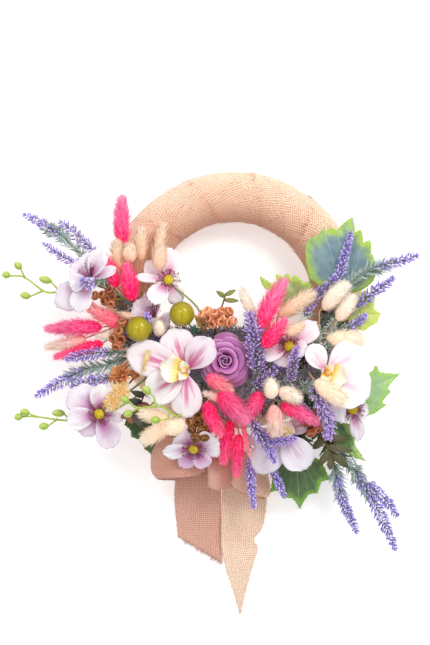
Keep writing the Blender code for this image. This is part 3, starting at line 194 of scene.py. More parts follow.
class Paint:
    # a material whose nodes come from calls
    def __init__(self, name):
        self.material = bpy.data.materials.new(name)
        self.material.use_nodes = True
        self.tree = self.material.node_tree
        self.shader = self.tree.nodes["Principled BSDF"]

    def node(self, kind, settings=None, inputs=None, output=0):
        made = self.tree.nodes.new(kind)
        for key, value in (settings or {}).items():
            setattr(made, key, value)
        for key, value in (inputs or {}).items():
            self.put(made.inputs[key], value)
        return Value(self, made.outputs[output])

    def put(self, socket, value):
        if isinstance(value, Value):
            self.tree.links.new(value.socket, socket)
        else:
            socket.default_value = tint(value) if isinstance(value, str) else value

    def pair(self, layer):
        found = self.node("ShaderNodeUVMap", {"uv_map": layer})
        split = self.node("ShaderNodeSeparateXYZ", {}, {0: found})
        return split, Value(self, split.socket.node.outputs[1])

    def noise(self, spot, scale, detail=2.0, rough=0.5):
        if isinstance(spot, tuple):
            spot = self.node("ShaderNodeCombineXYZ", {}, dict(enumerate(spot)))
        return self.node("ShaderNodeTexNoise", {}, {"Vector": spot, "Scale": scale,
                         "Detail": detail, "Roughness": rough}, "Fac")

    def place(self):
        return self.node("ShaderNodeNewGeometry", {}, {}, "Position")

    def blend(self, factor, a, b, kind="MIX"):
        return self.node("ShaderNodeMix", {"data_type": "RGBA", "blend_type": kind,
                         "clamp_factor": True}, {0: factor, 6: a, 7: b}, 2)

    def ramp(self, factor, *stops):
        made = self.node("ShaderNodeValToRGB", {}, {0: factor})
        elements = made.socket.node.color_ramp.elements
        for k, (spot, colour) in enumerate(stops):
            element = elements[k] if k < 2 else elements.new(spot)
            element.position = spot
            element.color = tint(colour)
        return made

    def finish(self, colour, roughness, relief=None, glow=0.0, **fixed):
        # relief: a height, its distance in mm and its strength
        self.put(self.shader.inputs["Base Color"], colour)
        self.put(self.shader.inputs["Roughness"], roughness)
        if relief:
            height, distance, strength = relief
            self.put(self.shader.inputs["Normal"], self.node("ShaderNodeBump", {}, {
                "Height": height, "Distance": distance * mm, "Strength": strength}))
        # glow: the surface gives off its own colour as light, though it is no lamp: painted light
        if glow:
            self.put(self.shader.inputs["Emission Color"], colour)
            fixed["Emission_Strength"] = glow
        for key, value in fixed.items():
            self.shader.inputs[key.replace("_", " ")].default_value = value
        return self.material


def begin(name):
    # a paint, the numbers across and along, and for each element a random number and a given one
    paint = Paint(name)
    return paint, *paint.pair("form"), *paint.pair("tone")


# Meshes: points, faces, two numbers across and along, and two tones for each point

class Form:
    def __init__(self):
        self.points, self.uvs, self.tones = [], [], []
        self.faces, self.slots, self.normals = [], [], []
        self.count = 0

    def add(self, points, faces, uvs, slot=0, tone=(0.5, 0.0), normals=None):
        # faces: a list of arrays of different corner counts
        points = np.asarray(points, float).reshape(-1, 3)
        self.points.append(points)
        self.uvs.append(np.asarray(uvs, float).reshape(-1, 2))
        self.tones.append(np.broadcast_to(np.asarray(tone, float), (len(points), 2)))
        if normals is not None:
            self.normals.append((self.count, np.asarray(normals, float)))
        for group in faces:
            group = np.asarray(group, int)
            self.faces.append(group + self.count)
            self.slots.append(np.full(len(group), slot))
        self.count += len(points)

    def build(self, name, materials, slotName, replaced=True):
        points = np.concatenate(self.points)
        corners = np.concatenate([group.reshape(-1) for group in self.faces])
        totals = np.concatenate([np.full(len(group), group.shape[1]) for group in self.faces])
        starts = np.concatenate([[0], np.cumsum(totals)[:-1]])
        mesh = bpy.data.meshes.new("wreath_" + name)
        mesh.vertices.add(len(points))
        mesh.vertices.foreach_set("co", points.astype(np.float32).reshape(-1))
        mesh.loops.add(len(corners))
        mesh.loops.foreach_set("vertex_index", corners.astype(np.int32))
        mesh.polygons.add(len(totals))
        mesh.polygons.foreach_set("loop_start", starts.astype(np.int32))
        mesh.polygons.foreach_set("material_index",
                                  np.concatenate(self.slots).astype(np.int32))
        mesh.update(calc_edges=True)
        for layer, values in (("form", self.uvs), ("tone", self.tones)):
            values = np.concatenate(values)[corners]
            made = mesh.uv_layers.new(name=layer)
            made.uv.foreach_set("vector", values.astype(np.float32).reshape(-1))
        for material in materials:
            mesh.materials.append(material)
        mesh.shade_smooth()
        if self.normals:
            lit = np.zeros(len(points) * 3, np.float32)
            mesh.vertex_normals.foreach_get("vector", lit)
            lit = lit.reshape(-1, 3)
            for first, normals in self.normals:
                lit[first:first + len(normals)] = normals
            mesh.normals_split_custom_set_from_vertices(lit)
        piece = bpy.data.objects.new("wreath_" + name, mesh)
        bpy.context.scene.collection.objects.link(piece)
        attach(piece, "root")
        if replaced:
            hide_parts(name)
        print(piece.name, int((totals - 2).sum()), "triangles")
        return piece


def each(table, seed):
    # a table's pieces: name, numbers, random draws of its own and an empty form
    for number, (name, spec) in enumerate(table.items()):
        yield name, spec, random.Random(seed + number), Form()


def addBlades(form, points, quad, slot, tones, normals=None):
    # blades of three triangles on five points: two at the base, two half way up, and the tip
    base = np.arange(0, len(points), 5)[:, None]
    uvs = [(0, 0), (1, 0), (0, 0.5), (1, 0.5), (0.5, 1)] * len(base)
    form.add(points, [base + quad, base + (2, 4, 3)], uvs, slot, np.repeat(tones, 5, 0), normals)


def gridFaces(rows, columns, flip=False):
    a = (np.arange(rows - 1)[:, None] * columns + np.arange(columns - 1)[None, :]).reshape(-1)
    faces = np.stack([a, a + 1, a + columns + 1, a + columns], 1)
    return faces[:, ::-1] if flip else faces


def tubeFaces(rows, sides, flip=False):
    # rings, and a fan to the one or two points that follow them
    k = np.arange(sides)
    after = (k + 1) % sides
    rings = [np.stack([k, after, after + sides, k + sides], 1) + i * sides
             for i in range(rows - 1)]
    top = (rows - 1) * sides
    first = np.stack([np.full(sides, top + sides), after, k], 1)
    last = np.stack([np.full(sides, top + sides + 1), top + k, top + after], 1)
    groups = [np.concatenate(rings), first, last]
    return [group[:, ::-1] for group in groups] if flip else groups


def addTube(form, path, radii, sides=8, slot=0, tone=(0.5, 0.0), wobble=0.0, seed=0):
    # a closed tube; the numbers across and along run 0 to 1
    rows = len(path)
    if not hasattr(radii, "__len__"):
        radii = [radii] * rows
    side, _ = frameOf((path[1] - path[0]).normalized())
    points, uvs = [], []
    for i, centre in enumerate(path):
        tangent = (path[min(i + 1, rows - 1)] - path[max(i - 1, 0)]).normalized()
        side = (side - tangent * side.dot(tangent)).normalized()
        other = tangent.cross(side)
        for k in range(sides):
            radius = radii[i] * mm
            if wobble:
                radius *= 1 + wobble * noise.noise(Vector((k * 1.7, i * 0.9, seed)))
            points.append(centre + spoke(side, other, circle * k / sides) * radius)
            uvs.append((k / sides, i / (rows - 1)))
    form.add(points + [path[0], path[-1]], tubeFaces(rows, sides), uvs + [(0.5, 0), (0.5, 1)],
             slot, tone)


def addSheet(form, grid, thickness, slot=0, tone=(0.5, 0.0), uvs=None, thin=0.25):
    # a closed sheet over a grid of points, its edges thinner than its middle
    grid = np.asarray(grid, float)
    rows, columns = grid.shape[:2]
    normal = np.cross(np.gradient(grid, axis=1), np.gradient(grid, axis=0))
    length = np.linalg.norm(normal, axis=2, keepdims=True)
    normal = normal / np.maximum(length, 1e-12)
    s, t = np.linspace(0, 1, rows), np.linspace(0, 1, columns)
    edge = np.minimum(1, 6 * np.minimum(t, 1 - t))[None, :] * np.minimum(1, 6 * (1 - s))[:, None]
    half = (thickness * mm / 2 * (thin + (1 - thin) * edge))[:, :, None]
    points = np.concatenate([(grid + normal * half).reshape(-1, 3),
                             (grid - normal * half).reshape(-1, 3)])
    if uvs is None:
        uvs = np.stack(np.meshgrid(t, s), 2)
    uvs = np.asarray(uvs, float).reshape(-1, 2)
    count = rows * columns
    spots = np.arange(count).reshape(rows, columns)
    rim = np.concatenate([spots[0], spots[1:, -1], spots[-1, -2::-1], spots[-2:0:-1, 0]])
    after = np.roll(rim, -1)
    faces = [gridFaces(rows, columns, True), gridFaces(rows, columns) + count,
             np.stack([rim, after, after + count, rim + count], 1)]
    form.add(points, faces, np.concatenate([uvs, uvs]), slot, tone)


# Burlap: threads over and under, laid by numbers in millimetres across and along

def burlap(name, light, middle, dark, blush, pitch=2.1, slant=0.45, ragged=0.7, glow=0.04):
    paint, across, length, shade, _ = begin(name)
    wander = paint.noise((across, length), 0.16, 3.0, 0.6) - 0.5
    slow = paint.noise((across * 0.05, length * 0.02 + 7.0), 1.0, 3.0)
    x = across + wander * 4.5 + length * slant
    y = length + wander * 3.5 - across * slant
    a, b = x.waves(1 / pitch), y.waves(1 / pitch)
    over = a * b * 0.34
    weft = paint.noise((x * 0.12, y * 1.1), 0.6) * ragged + (1.0 - ragged * 0.5)
    warp = paint.noise((x * 1.1, y * 0.12), 0.6) * ragged + (1.0 - ragged * 0.5)
    height = (a.fold() * (0.62 + over) * warp).most(b.fold() * (0.62 - over) * weft)
    fibre = paint.noise((x * 2.0, y * 2.0), 3.0, 3.0, 0.7)
    # threads lighter where they stand high and darker in the gaps between them: painted shade in
    # the weave, over the fibres' own random tone
    body = paint.ramp(height * 0.9 + fibre * 0.45 - 0.14,
                      (0.22, dark), (0.48, middle), (0.8, light))
    patch = paint.blend(slow.step(0.35, 0.75) * 0.2, body, light)
    # the given tone multiplies in the redder blush colour as painted shade; glow gives the burlap
    # faint light of its own, painted light
    return paint.finish(paint.blend(shade * 0.75, patch, blush, "MULTIPLY"), 0.92,
                        (height + fibre * 0.25, 0.7, 1.0), glow,
                        Sheen_Weight=0.25, Sheen_Roughness=0.6)


peach = burlap("burlap", "ffecd6", "fcd0b0", "ba6844", "e2a08a")
# a darker, pinker copy of the burlap for the bow's left and middle loops, its knot and its left
# tail, which lie in shade: painted shade
shadedPeach = burlap("burlap in shade", "f4ceba", "e4b09c", "a05848", "dea89a")
wrapPeach = burlap("wrapped burlap", "fff0d6", "fccaa4", "903e1c", "e8967a", 2.3, 0.35, 1.7, 0)


# Ring: a skin of overlapping laps round the core, their threads frayed along each seam

wrap = dict(radius=100.5, tube=24.5, centre=24.0, inside=22.65, rise=1.0, laps=12,
            slit=6, flat=16, threads=430, columns=64, lapRows=25)


def buildWrap():
    rng = random.Random(4)
    form = Form()
    laps, tube, ring = wrap["laps"], wrap["tube"], wrap["radius"]
    rows, columns = wrap["lapRows"] * laps, wrap["columns"]
    turns = np.linspace(270 + wrap["slit"], 630 - wrap["slit"], columns)
    theta = np.linspace(0, circle, rows + 1)
    lapAt = (theta[:, None] / circle * laps + ((turns[None, :] + 90) % 360) / 360) % 1
    pucker = np.array([[noise.noise(Vector((t * 9, math.sin(math.radians(q)) * 2.0,
                                            math.cos(math.radians(q)) * 2.0)))
                        for q in turns] for t in theta])
    pucker[-1] = pucker[0]
    radius = tube + wrap["rise"] * (lapAt - 0.5) + 0.28 * pucker
    q = np.radians(turns)[None, :]

    def surface(radius):
        out = ring + radius * np.cos(q)
        x = ringX / mm + out * np.cos(theta)[:, None]
        y = ringY / mm + out * np.sin(theta)[:, None]
        z = np.maximum(wrap["centre"] + radius * np.sin(q), 0.0)
        return np.stack(np.broadcast_arrays(x, y, z), 2)

    # the ring's back is pressed flat
    near = np.abs((turns - 270 + 180) % 360 - 180) <= wrap["flat"]
    outer = surface(radius)
    outer[:, near] = surface(np.full_like(radius, tube))[:, near]
    outer[:, near, 2] = 0
    inner = surface(np.full_like(radius, wrap["inside"]))
    inner[:, :, 2] = np.maximum(inner[:, :, 2], 0.5)
    across = (theta * ring)[:, None] + turns[None, :] / 360 * 52.6
    length = np.broadcast_to(q * tube, across.shape)
    uvs = np.stack([across, length], 2).reshape(-1, 2)
    # painted shade: the burlap darker and redder on the ring's inner side and beside each seam
    shade = 0.5 - 0.5 * np.cos(np.radians(turns - 5))     # darker and redder on the inner side
    under = 0.12 * np.clip(1 - lapAt / 0.16, 0, 1)        # and beside each seam
    tone = np.stack([np.clip(shade[None, :] * 0.75 + under, 0, 1), lapAt], 2).reshape(-1, 2)
    count = (rows + 1) * columns
    edge = np.arange(rows) * columns
    last = edge + columns - 1
    faces = [gridFaces(rows + 1, columns), gridFaces(rows + 1, columns, True) + count,
             np.stack([edge, edge + columns, edge + columns + count, edge + count], 1),
             np.stack([last + columns, last, last + count, last + columns + count], 1)]
    form.add(np.concatenate([outer.reshape(-1, 3), inner.reshape(-1, 3)]) * mm, faces,
             np.concatenate([uvs, uvs]), 0, np.concatenate([tone, tone]))
    # loose threads, most of them lying along the seams
    for _ in range(wrap["threads"]):
        turn = rng.uniform(285, 615)
        if rng.random() < 0.7:
            lap = rng.randrange(laps)
            spot = (lap - ((turn + 90) % 360) / 360 + rng.uniform(-0.02, 0.05)) / laps
        else:
            spot = rng.random()
        start = math.radians(turn)
        heading = rng.uniform(-0.5, 0.5)
        size = rng.uniform(2.0, 6.5)
        path = []
        for i in range(4):
            part = i / 3
            a = spot * circle + math.cos(heading) * size * part / ring
            b = start + math.sin(heading) * size * part / tube
            stand = tube + 0.45 + rng.uniform(0.0, 1.4) * part
            out = (ring + stand * math.cos(b)) * mm
            path.append(Vector((ringX + out * math.cos(a), ringY + out * math.sin(a),
                                max(wrap["centre"] + stand * math.sin(b), 0.4) * mm)))
        # painted shade: loose threads on the inner side take the darker, redder burlap
        shadeHere = 0.5 - 0.5 * math.cos(start - 0.09)
        addTube(form, path, (0.16, 0.2, 0.18, 0.1), 4, 0, (shadeHere * 0.6, 0.2))
    form.build("ring_wrap", [wrapPeach], "burlap")


buildWrap()

# Straw of the ring's core, and the foam, which keep their own solids

straw = Paint("straw")
grain = straw.noise(straw.place(), 900.0, 3.0, 0.7)
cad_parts["ring_core"].data.materials[0] = straw.finish(
    straw.ramp(grain, (0.25, "785830"), (0.75, "ceac70")), 0.9, (grain, 0.6, 1.0))

foam = Paint("moss green foam")
clump = foam.noise(foam.place(), 160.0, 6.0, 0.75)
pits = foam.noise(foam.place(), 1400.0)
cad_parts["foam_pad"].data.materials[0] = foam.finish(
    foam.ramp(clump, (0.3, "181e10"), (0.55, "3a4220"), (0.75, "605c30")), 0.95,
    (clump + pits * 0.4, 2.0, 1.0))


# Stems: green, straw-coloured or grey-green, streaked along their length

def stemPaint(name, dark, light, roughness=0.6):
    paint, across, length, chance, _ = begin(name)
    streak = paint.noise((across * 7.0, length * 1.5, chance * 9.0), 2.0)
    mottle = paint.noise((length * 9.0, chance * 30.0), 3.0)
    share = streak * 0.7 + mottle * 0.4 + chance * 0.25 - 0.15
    return paint.finish(paint.ramp(share, (0.2, dark), (0.8, light)), roughness,
                        (streak, 0.15, 0.6))


greenStem = stemPaint("green stem", "849e2e", "c4d854", 0.45)
paleStem = stemPaint("pale green stem", "78965a", "bacc96")
tanStem = stemPaint("straw stem", "966c42", "deb886")
greyStem = stemPaint("grey green stem", "485c48", "96a88c")
pinkStem = stemPaint("pink straw stem", "b03e4e", "e8968a")
darkBrown = stemPaint("brown stem", "4e301c", "8c5e3a")


def addStem(form, root, route, radius=1.0, end=1.0, slot=0, tone=(0.5, 0.0)):
    # from its hole in the foam, through the route's points
    path = smoothPath(places((*root, stemRoot), (*root, padTop + 2)) + route, 5)
    addTube(form, path, taper(path, radius, end), 8, slot, tone, 0.08, root[0])
    return path


def addPeg(form, root, shade):
    # the short end that a bunch shares
    addTube(form, places((*root, stemRoot), (*root, padTop + 2.6)), (1.8, 1.2), 8, 0, (shade, 0))


def fromPeg(root, route, number):
    start = place(*root, padTop + 1.7 - 0.25 * number)
    return [start - (route[0] - start).normalized() * 0.7 * mm] + route


# Bow: each ribbon is a run of places along its middle, or rows from edge to edge

bow = dict(
    loops=[
        dict(run=[(212, 451, 30), (204, 453, 42), (190, 456, 45), (168, 458, 43), (153, 458, 34),
                  (153, 459, 24), (170, 460, 16), (190, 460, 14), (212, 457, 22)],
             across=(0.04, 1.0), width=42, shade=(0.75, 0.5)),
        dict(run=[(219, 446, 28), (219, 456, 40), (219, 470, 44), (219.5, 485, 40),
                  (219.5, 489.5, 32), (219, 478, 26), (219, 462, 26)],
             across=(1.0, 0.0), width=22, shade=(0.35, 1.0)),
        dict(run=[(216, 453, 30), (226, 463, 34), (238, 471, 34), (252, 476, 33), (267, 479, 27),
                  (267, 480, 17), (250, 478, 12), (228, 467, 14), (216, 458, 24)],
             across=(-0.16, 1.0), width=43, shade=(0.6, 0.35))],
    wire=[(214.5, 411, 53), (214.5, 411, 60), (215, 417, 60.4), (216, 436, 50), (216, 452, 28)],
    knot=[(216, 457, 17.6), (216, 453, 34.4)], knotRadius=11.2, thickness=1.0,
    bow_tail_left=[(180, 458, 221, 458, 12.5), (175, 484, 221, 484, 11), (175, 508, 221, 514, 5),
                   (178, 538, 222, 565, 2)],
    bow_tail_right=[(222, 472, 266, 480, 10.5), (222, 499, 267, 499, 9), (221, 527, 263, 527, 8),
                    (221, 539, 254.5, 540, 7), (221.5, 549, 258, 550, 6),
                    (225.5, 568, 253, 568, 5), (232.5, 590, 246.8, 590, 3),
                    (239.5, 613, 241.5, 613, 1.5)])


def lengths(grid):
    # millimetres across and along a grid of points
    sideways = np.linalg.norm(np.diff(grid, axis=1), axis=2)
    downward = np.linalg.norm(np.diff(grid, axis=0), axis=2)
    u = np.concatenate([np.zeros((grid.shape[0], 1)), np.cumsum(sideways, 1)], 1)
    v = np.concatenate([np.zeros((1, grid.shape[1])), np.cumsum(downward, 0)], 0)
    return np.stack([u, v], 2) / mm


def frayEdge(form, edge, outward, count, rng, tone, size):
    # short threads that stand out of a ribbon's cut edge
    edge = [Vector(spot) for spot in edge]
    for _ in range(count):
        start = along(edge, rng.random())[0]
        reach = rng.uniform(*size) * mm
        drift = scatter(rng, -0.1, 0.5)
        middle = start + outward * reach * 0.5 + drift * reach * 0.15
        end = start + outward * reach + drift * reach * 0.4
        for point in (middle, end):
            point.z = max(point.z, 0.5 * mm)
        addTube(form, [start - outward * 0.6 * mm, middle, end], (0.2, 0.2, 0.12), 4, 0, tone)


def buildLoops(rng):
    form = Form()
    for number, spec in enumerate(bow["loops"]):
        run = smoothPath(places(*spec["run"]), 8)
        across = Vector((*spec["across"], 0)).normalized() * spec["width"] / 2 * mm
        back = (run[0] - run[len(run) // 2]) * Vector((1, 1, 0))
        back = back.normalized() * 9 * mm
        grid, tones = [], []
        for i, centre in enumerate(run):
            s = i / (len(run) - 1)
            pinch = between([(0, 0.72), (0.2, 0.97), (0.5, 1.0), (0.8, 0.97), (1, 0.72)], s)
            fold = math.sin(math.pi * s) ** 6
            row = []
            for t in np.linspace(-1, 1, 27):
                wave = noise.noise(Vector((t * 1.3, s * 4.0, number * 5.0)))
                point = centre + across * t * pinch + Vector((0, 0, 1.1 * wave * mm))
                row.append(tuple(point + back * fold * t ** 4))
                tones.append((mix(*spec["shade"], 1 / (1 + math.exp(-9 * t))), 0.0))
            grid.append(row)
        grid = np.array(grid)
        addSheet(form, grid, bow["thickness"], number < 2, tones + tones, lengths(grid), 0.8)
        for side, outward in ((0, -1), (-1, 1)):
            frayEdge(form, grid[:, side], across.normalized() * outward, 26, rng,
                     (spec["shade"][0], 0.0), (0.5, 1.6))
    # the knot: a short band pulled tight round the loops' middle
    bottom, top = places(*bow["knot"])
    side, other = frameOf((top - bottom).normalized())
    rows, columns = 9, 40
    grid = []
    for i in range(rows):
        s = i / (rows - 1)
        row = []
        for j in range(columns + 1):
            angle = circle * j / columns
            crease = 0.05 * math.sin(angle * 5 + s * 2)
            reach = bow["knotRadius"] * mm * (0.8 + 0.2 * math.sin(math.pi * s)) * (1 + crease)
            row.append(tuple(mix(bottom, top, s) + spoke(side, other, angle) * reach))
        grid.append(row)
    grid = np.array(grid)
    addSheet(form, grid, bow["thickness"], 1, (0.5, 0), lengths(grid), 0.9)
    addTube(form, smoothPath(places(*bow["wire"]), 5), 1.0, 8, 2)
    piece = form.build("bow_loops", [peach, shadedPeach, tanStem], "burlap")


def buildRibbonTail(name, rng):
    form = Form()
    rows = bow[name]
    left = smoothPath([place(x, y, height) for x, y, _, _, height in rows], 10)
    right = smoothPath([place(x, y, height) for _, _, x, y, height in rows], 10)
    grid = []
    for i, (a, b) in enumerate(zip(left, right)):
        row = []
        for j in range(31):
            t = j / 30
            wave = noise.noise(Vector((t * 1.6, i * 0.06, len(name))))
            point = mix(a, b, t) + Vector((0, 0, 0.9 * wave * min(1, i / 12) * mm))
            point.z = max(point.z, 0.6 * mm)
            row.append(tuple(point))
        grid.append(row)
    grid = np.array(grid)
    u, v = np.moveaxis(lengths(grid), 2, 0)
    # threads run slantwise, as on ribbon cut on the bias
    turned = np.stack([u * 0.9 - v * 0.42, u * 0.42 + v * 0.9], 2)
    # painted shade across each tail, more on the left tail; none on the right tail below its fold,
    # which is paler
    leftTail = name == "bow_tail_left"
    tone = (0.42 if leftTail else 0.14, 0.0)
    tailShade = np.full(grid.shape[:2], tone[0])
    if not leftTail:
        tailShade[grid[..., 1] < place(0, 543, 0).y] = 0.0
    tones = np.stack([tailShade, tailShade * 0], 2).reshape(-1, 2)
    addSheet(form, grid, bow["thickness"], 0, np.concatenate([tones, tones]), turned, 0.8)
    down = Vector((-0.3, -1, 0)).normalized()
    frayEdge(form, grid[-1], down, 46 if leftTail else 8, rng, tone, (1.0, 3.6))
    frayEdge(form, grid[8:, 0], Vector((-1, 0, 0)), 40, rng, tone, (0.3, 1.3))
    frayEdge(form, grid[8:, -1], Vector((1, 0, 0)), 40, rng, tone, (0.3, 1.5))
    piece = form.build(name, [shadedPeach if leftTail else peach], "burlap")


def buildBow():
    rng = random.Random(12)
    buildLoops(rng)
    buildRibbonTail("bow_tail_left", rng)
    buildRibbonTail("bow_tail_right", rng)


# Bunny tails: an egg of soft bristles on a thin stem. Each has its base, tip, width and the
# stem's route. From the perched number on, stems run to the middle of their heads.

tails = {
    "pink_upper_left": dict(root=(137, 303), kinds=["pink", "flame", "flame"], tails=[
        ((123, 244, 59), (122.5, 197, 58), 17, (130, 285, 58)),
        ((117, 287, 72), (105, 257, 75), 13, (128, 297, 66)),
        ((133, 300, 76), (126, 265, 82), 17, (129.5, 300, 64), (128, 300, 71))]),
    "pink_left": dict(root=(127, 319), kinds=["salmon", "pink", "blush", "flame", "cream"], tails=[
        ((120, 325, 72), (87, 305, 75), 15),
        ((102, 327, 70), (46, 329, 66), 16, (114, 325, 67)),
        ((86, 338, 63), (46, 347, 61), 13, (112, 328, 62)),
        ((103, 343, 63), (55, 357, 61), 13, (116, 332, 62)),
        ((114, 337, 66), (97, 336, 68), 9, (120, 331, 64))], perched=4),
    "pink_middle": dict(root=(222, 398), kinds=["salmon", "pink", "flame", "pink", "blush"], tails=[
        ((207, 376, 88), (231, 390, 90), 15, (212, 388, 72)),
        ((219, 393, 90), (246, 422, 92), 20, (218, 394, 76)),
        ((206, 402, 86), (221, 434, 88), 15, (214, 398, 72)),
        ((261, 392, 84), (245, 419, 87), 16, (235, 402, 70), (258, 396, 78)),
        ((224, 399, 80), (205, 392, 82), 11, (221, 400, 72))], perched=4),
    "pink_bottom": dict(root=(231, 408), kinds=["flame", "flame", "salmon"], tails=[
        ((231, 421, 66), (224, 463, 58), 14),
        ((239, 434, 66), (237, 476, 58), 13, (236, 420, 66)),
        ((242, 424, 73), (250, 458, 68), 5, (238, 414, 68))]),
    "pink_right": dict(root=(264, 352), kinds=["pink", "flame"], tails=[
        ((260, 328, 84), (285, 280, 88), 18.5, (262, 338, 72)),
        ((263, 347, 92), (285, 320, 96), 16, (264, 350, 76))]),
    "pink_lower_right": dict(root=(284, 392), kinds=["pink"], tails=[
        ((281, 404, 84), (318, 421, 82), 15, (282, 398, 74))]),
    "cream_upper_left": dict(root=(141, 313), kinds=["peach"] * 6, tails=[
        ((120, 268, 67), (117, 241, 66), 13, (132, 306, 61.9), (123, 284, 63.2)),
        ((130, 262, 74), (131, 244, 76), 16, (140, 300, 63), (136, 276, 68)),
        ((141, 261, 66), (141, 229, 66), 12, (143, 295, 62)),
        ((156, 262, 60), (163, 224, 60), 11, (148, 290, 60)),
        ((134, 317.5, 66), (119, 313.5, 66), 8, (138.5, 315.5, 62.5)),
        ((159, 270, 85), (161, 247, 87), 15, (147, 292, 62), (157.5, 258, 66))], perched=5),
    "cream_left": dict(root=(163, 343), kinds=["cream"], tails=[
        ((160, 335, 70), (158, 321, 82), 13, (162, 340, 62))]),
    "cream_lower_left": dict(root=(190, 402), kinds=["ivory"] * 3, tails=[
        ((170, 420, 66), (139, 412, 66), 14, (182, 411, 64)),
        ((172, 424, 64), (143, 442, 58), 15, (183, 413, 62)),
        ((185, 423, 76), (166, 427, 78), 17, (189, 411, 68))]),
    "cream_right": dict(root=(320, 345), kinds=["cream", "cream", "ivory"], tails=[
        ((323, 309, 82), (347.5, 284, 84), 16, (319, 340, 74), (319, 313, 82)),
        ((337, 320, 78), (353, 296, 80), 15, (322, 340, 70), (333, 324, 77)),
        ((326, 337, 67), (364, 339, 66), 16.5, (322, 341, 63))]),
    "cream_middle": dict(root=(275, 338), kinds=["peach", "peach", "cream"], tails=[
        ((278, 316, 76), (314, 292, 78), 15, (276, 325, 68)),
        ((287, 334, 94), (303, 325, 96), 12, (278, 336, 76)),
        ((255, 319, 72), (241, 289, 76), 9, (266, 330, 64))]),
    "cream_orchid": dict(root=(309, 370), kinds=["ivory"], tails=[
        ((315, 381, 95), (346, 401, 99), 16, (309, 373, 80))]),
    "cream_centre": dict(root=(272, 396), kinds=["cream", "cream", "blush"], tails=[
        ((271, 398, 93), (270, 379, 97), 16, (272, 399, 82)),
        ((279, 390, 92), (300, 399, 95), 16, (274, 396, 80)),
        ((273, 405, 90), (276, 435, 92), 16, (273, 400, 80))]),
}
# the head's profile, bristles for each square mm, stoutness, and how the bristles spread
flame = dict(profile=[(0, 0.34), (0.08, 0.72), (0.22, 0.97), (0.36, 1.0), (0.56, 0.86),
                      (0.76, 0.58), (0.92, 0.3), (1, 0.08)],
             thick=4.8, stout=1.04, close=0.1, spread=1.15)
egg = dict(profile=[(0, 0.34), (0.12, 0.78), (0.3, 0.99), (0.52, 1.0), (0.76, 0.86),
                    (0.92, 0.56), (1, 0.2)],
           thick=4.4, stout=1.1, close=0.32, spread=0.85)


def bristlePaint(name, base, middle, tip, light, sheen, glow=0.16):
    # given tone: how far along the head the bristle stands
    paint, _, length, chance, share = begin(name + " bristles")
    body = paint.ramp(share * 0.55 + length * 0.36 + (chance - 0.5) * 0.5,
                      (0.08, base), (0.44, middle), (0.95, tip))
    # random bristles paler toward their tips: partly the bristles' own paler tips, partly painted
    # highlight
    body = paint.blend((chance * 5.3).wrap().step(0.55, 1.0) * length * 0.8, body, light)
    # random bristles darker toward their roots: partly their own deeper colour, partly painted
    # shade deep in the fur
    deep = (chance * 9.7).wrap().step(0.6, 1.0) * (1.0 - length) * 0.5
    # glow gives the bristles faint light of their own colour: painted light
    return paint.finish(paint.blend(deep, body, base), 0.85, None, glow, Sheen_Weight=0.4,
                        Sheen_Roughness=0.5, Sheen_Tint=tint(sheen), Specular_IOR_Level=0.05)


bristles = {
    "pink": bristlePaint("pink", "fa1268", "ff5ca0", "ffa6c8", "ffd6e4", "ff78b4"),
    "flame": bristlePaint("flame", "ee0054", "ff3080", "ff88aa", "ffbacc", "ff5096", 0.24),
    "salmon": bristlePaint("salmon", "ff3c74", "ff8ca0", "ffd2be", "ffe6d8", "ff96a0"),
    "cream": bristlePaint("cream", "eed4be", "fdefdf", "fff6e8", "fffefa", "fff0e0", 0.14),
    # a paler cream that glows more, for the tails that lie in shade: painted light
    "ivory": bristlePaint("ivory", "f6d8ba", "ffecd4", "fff6e4", "fffef6", "fff0dc", 0.26),
    "peach": bristlePaint("peach cream", "ecc0a0", "fadcc0", "fce8d0", "fff6e6", "fae2cc", 0.1),
    "blush": bristlePaint("blush", "ffb0ac", "ffded0", "fff2e4", "fffcf6", "fae2d8", 0.14),
}


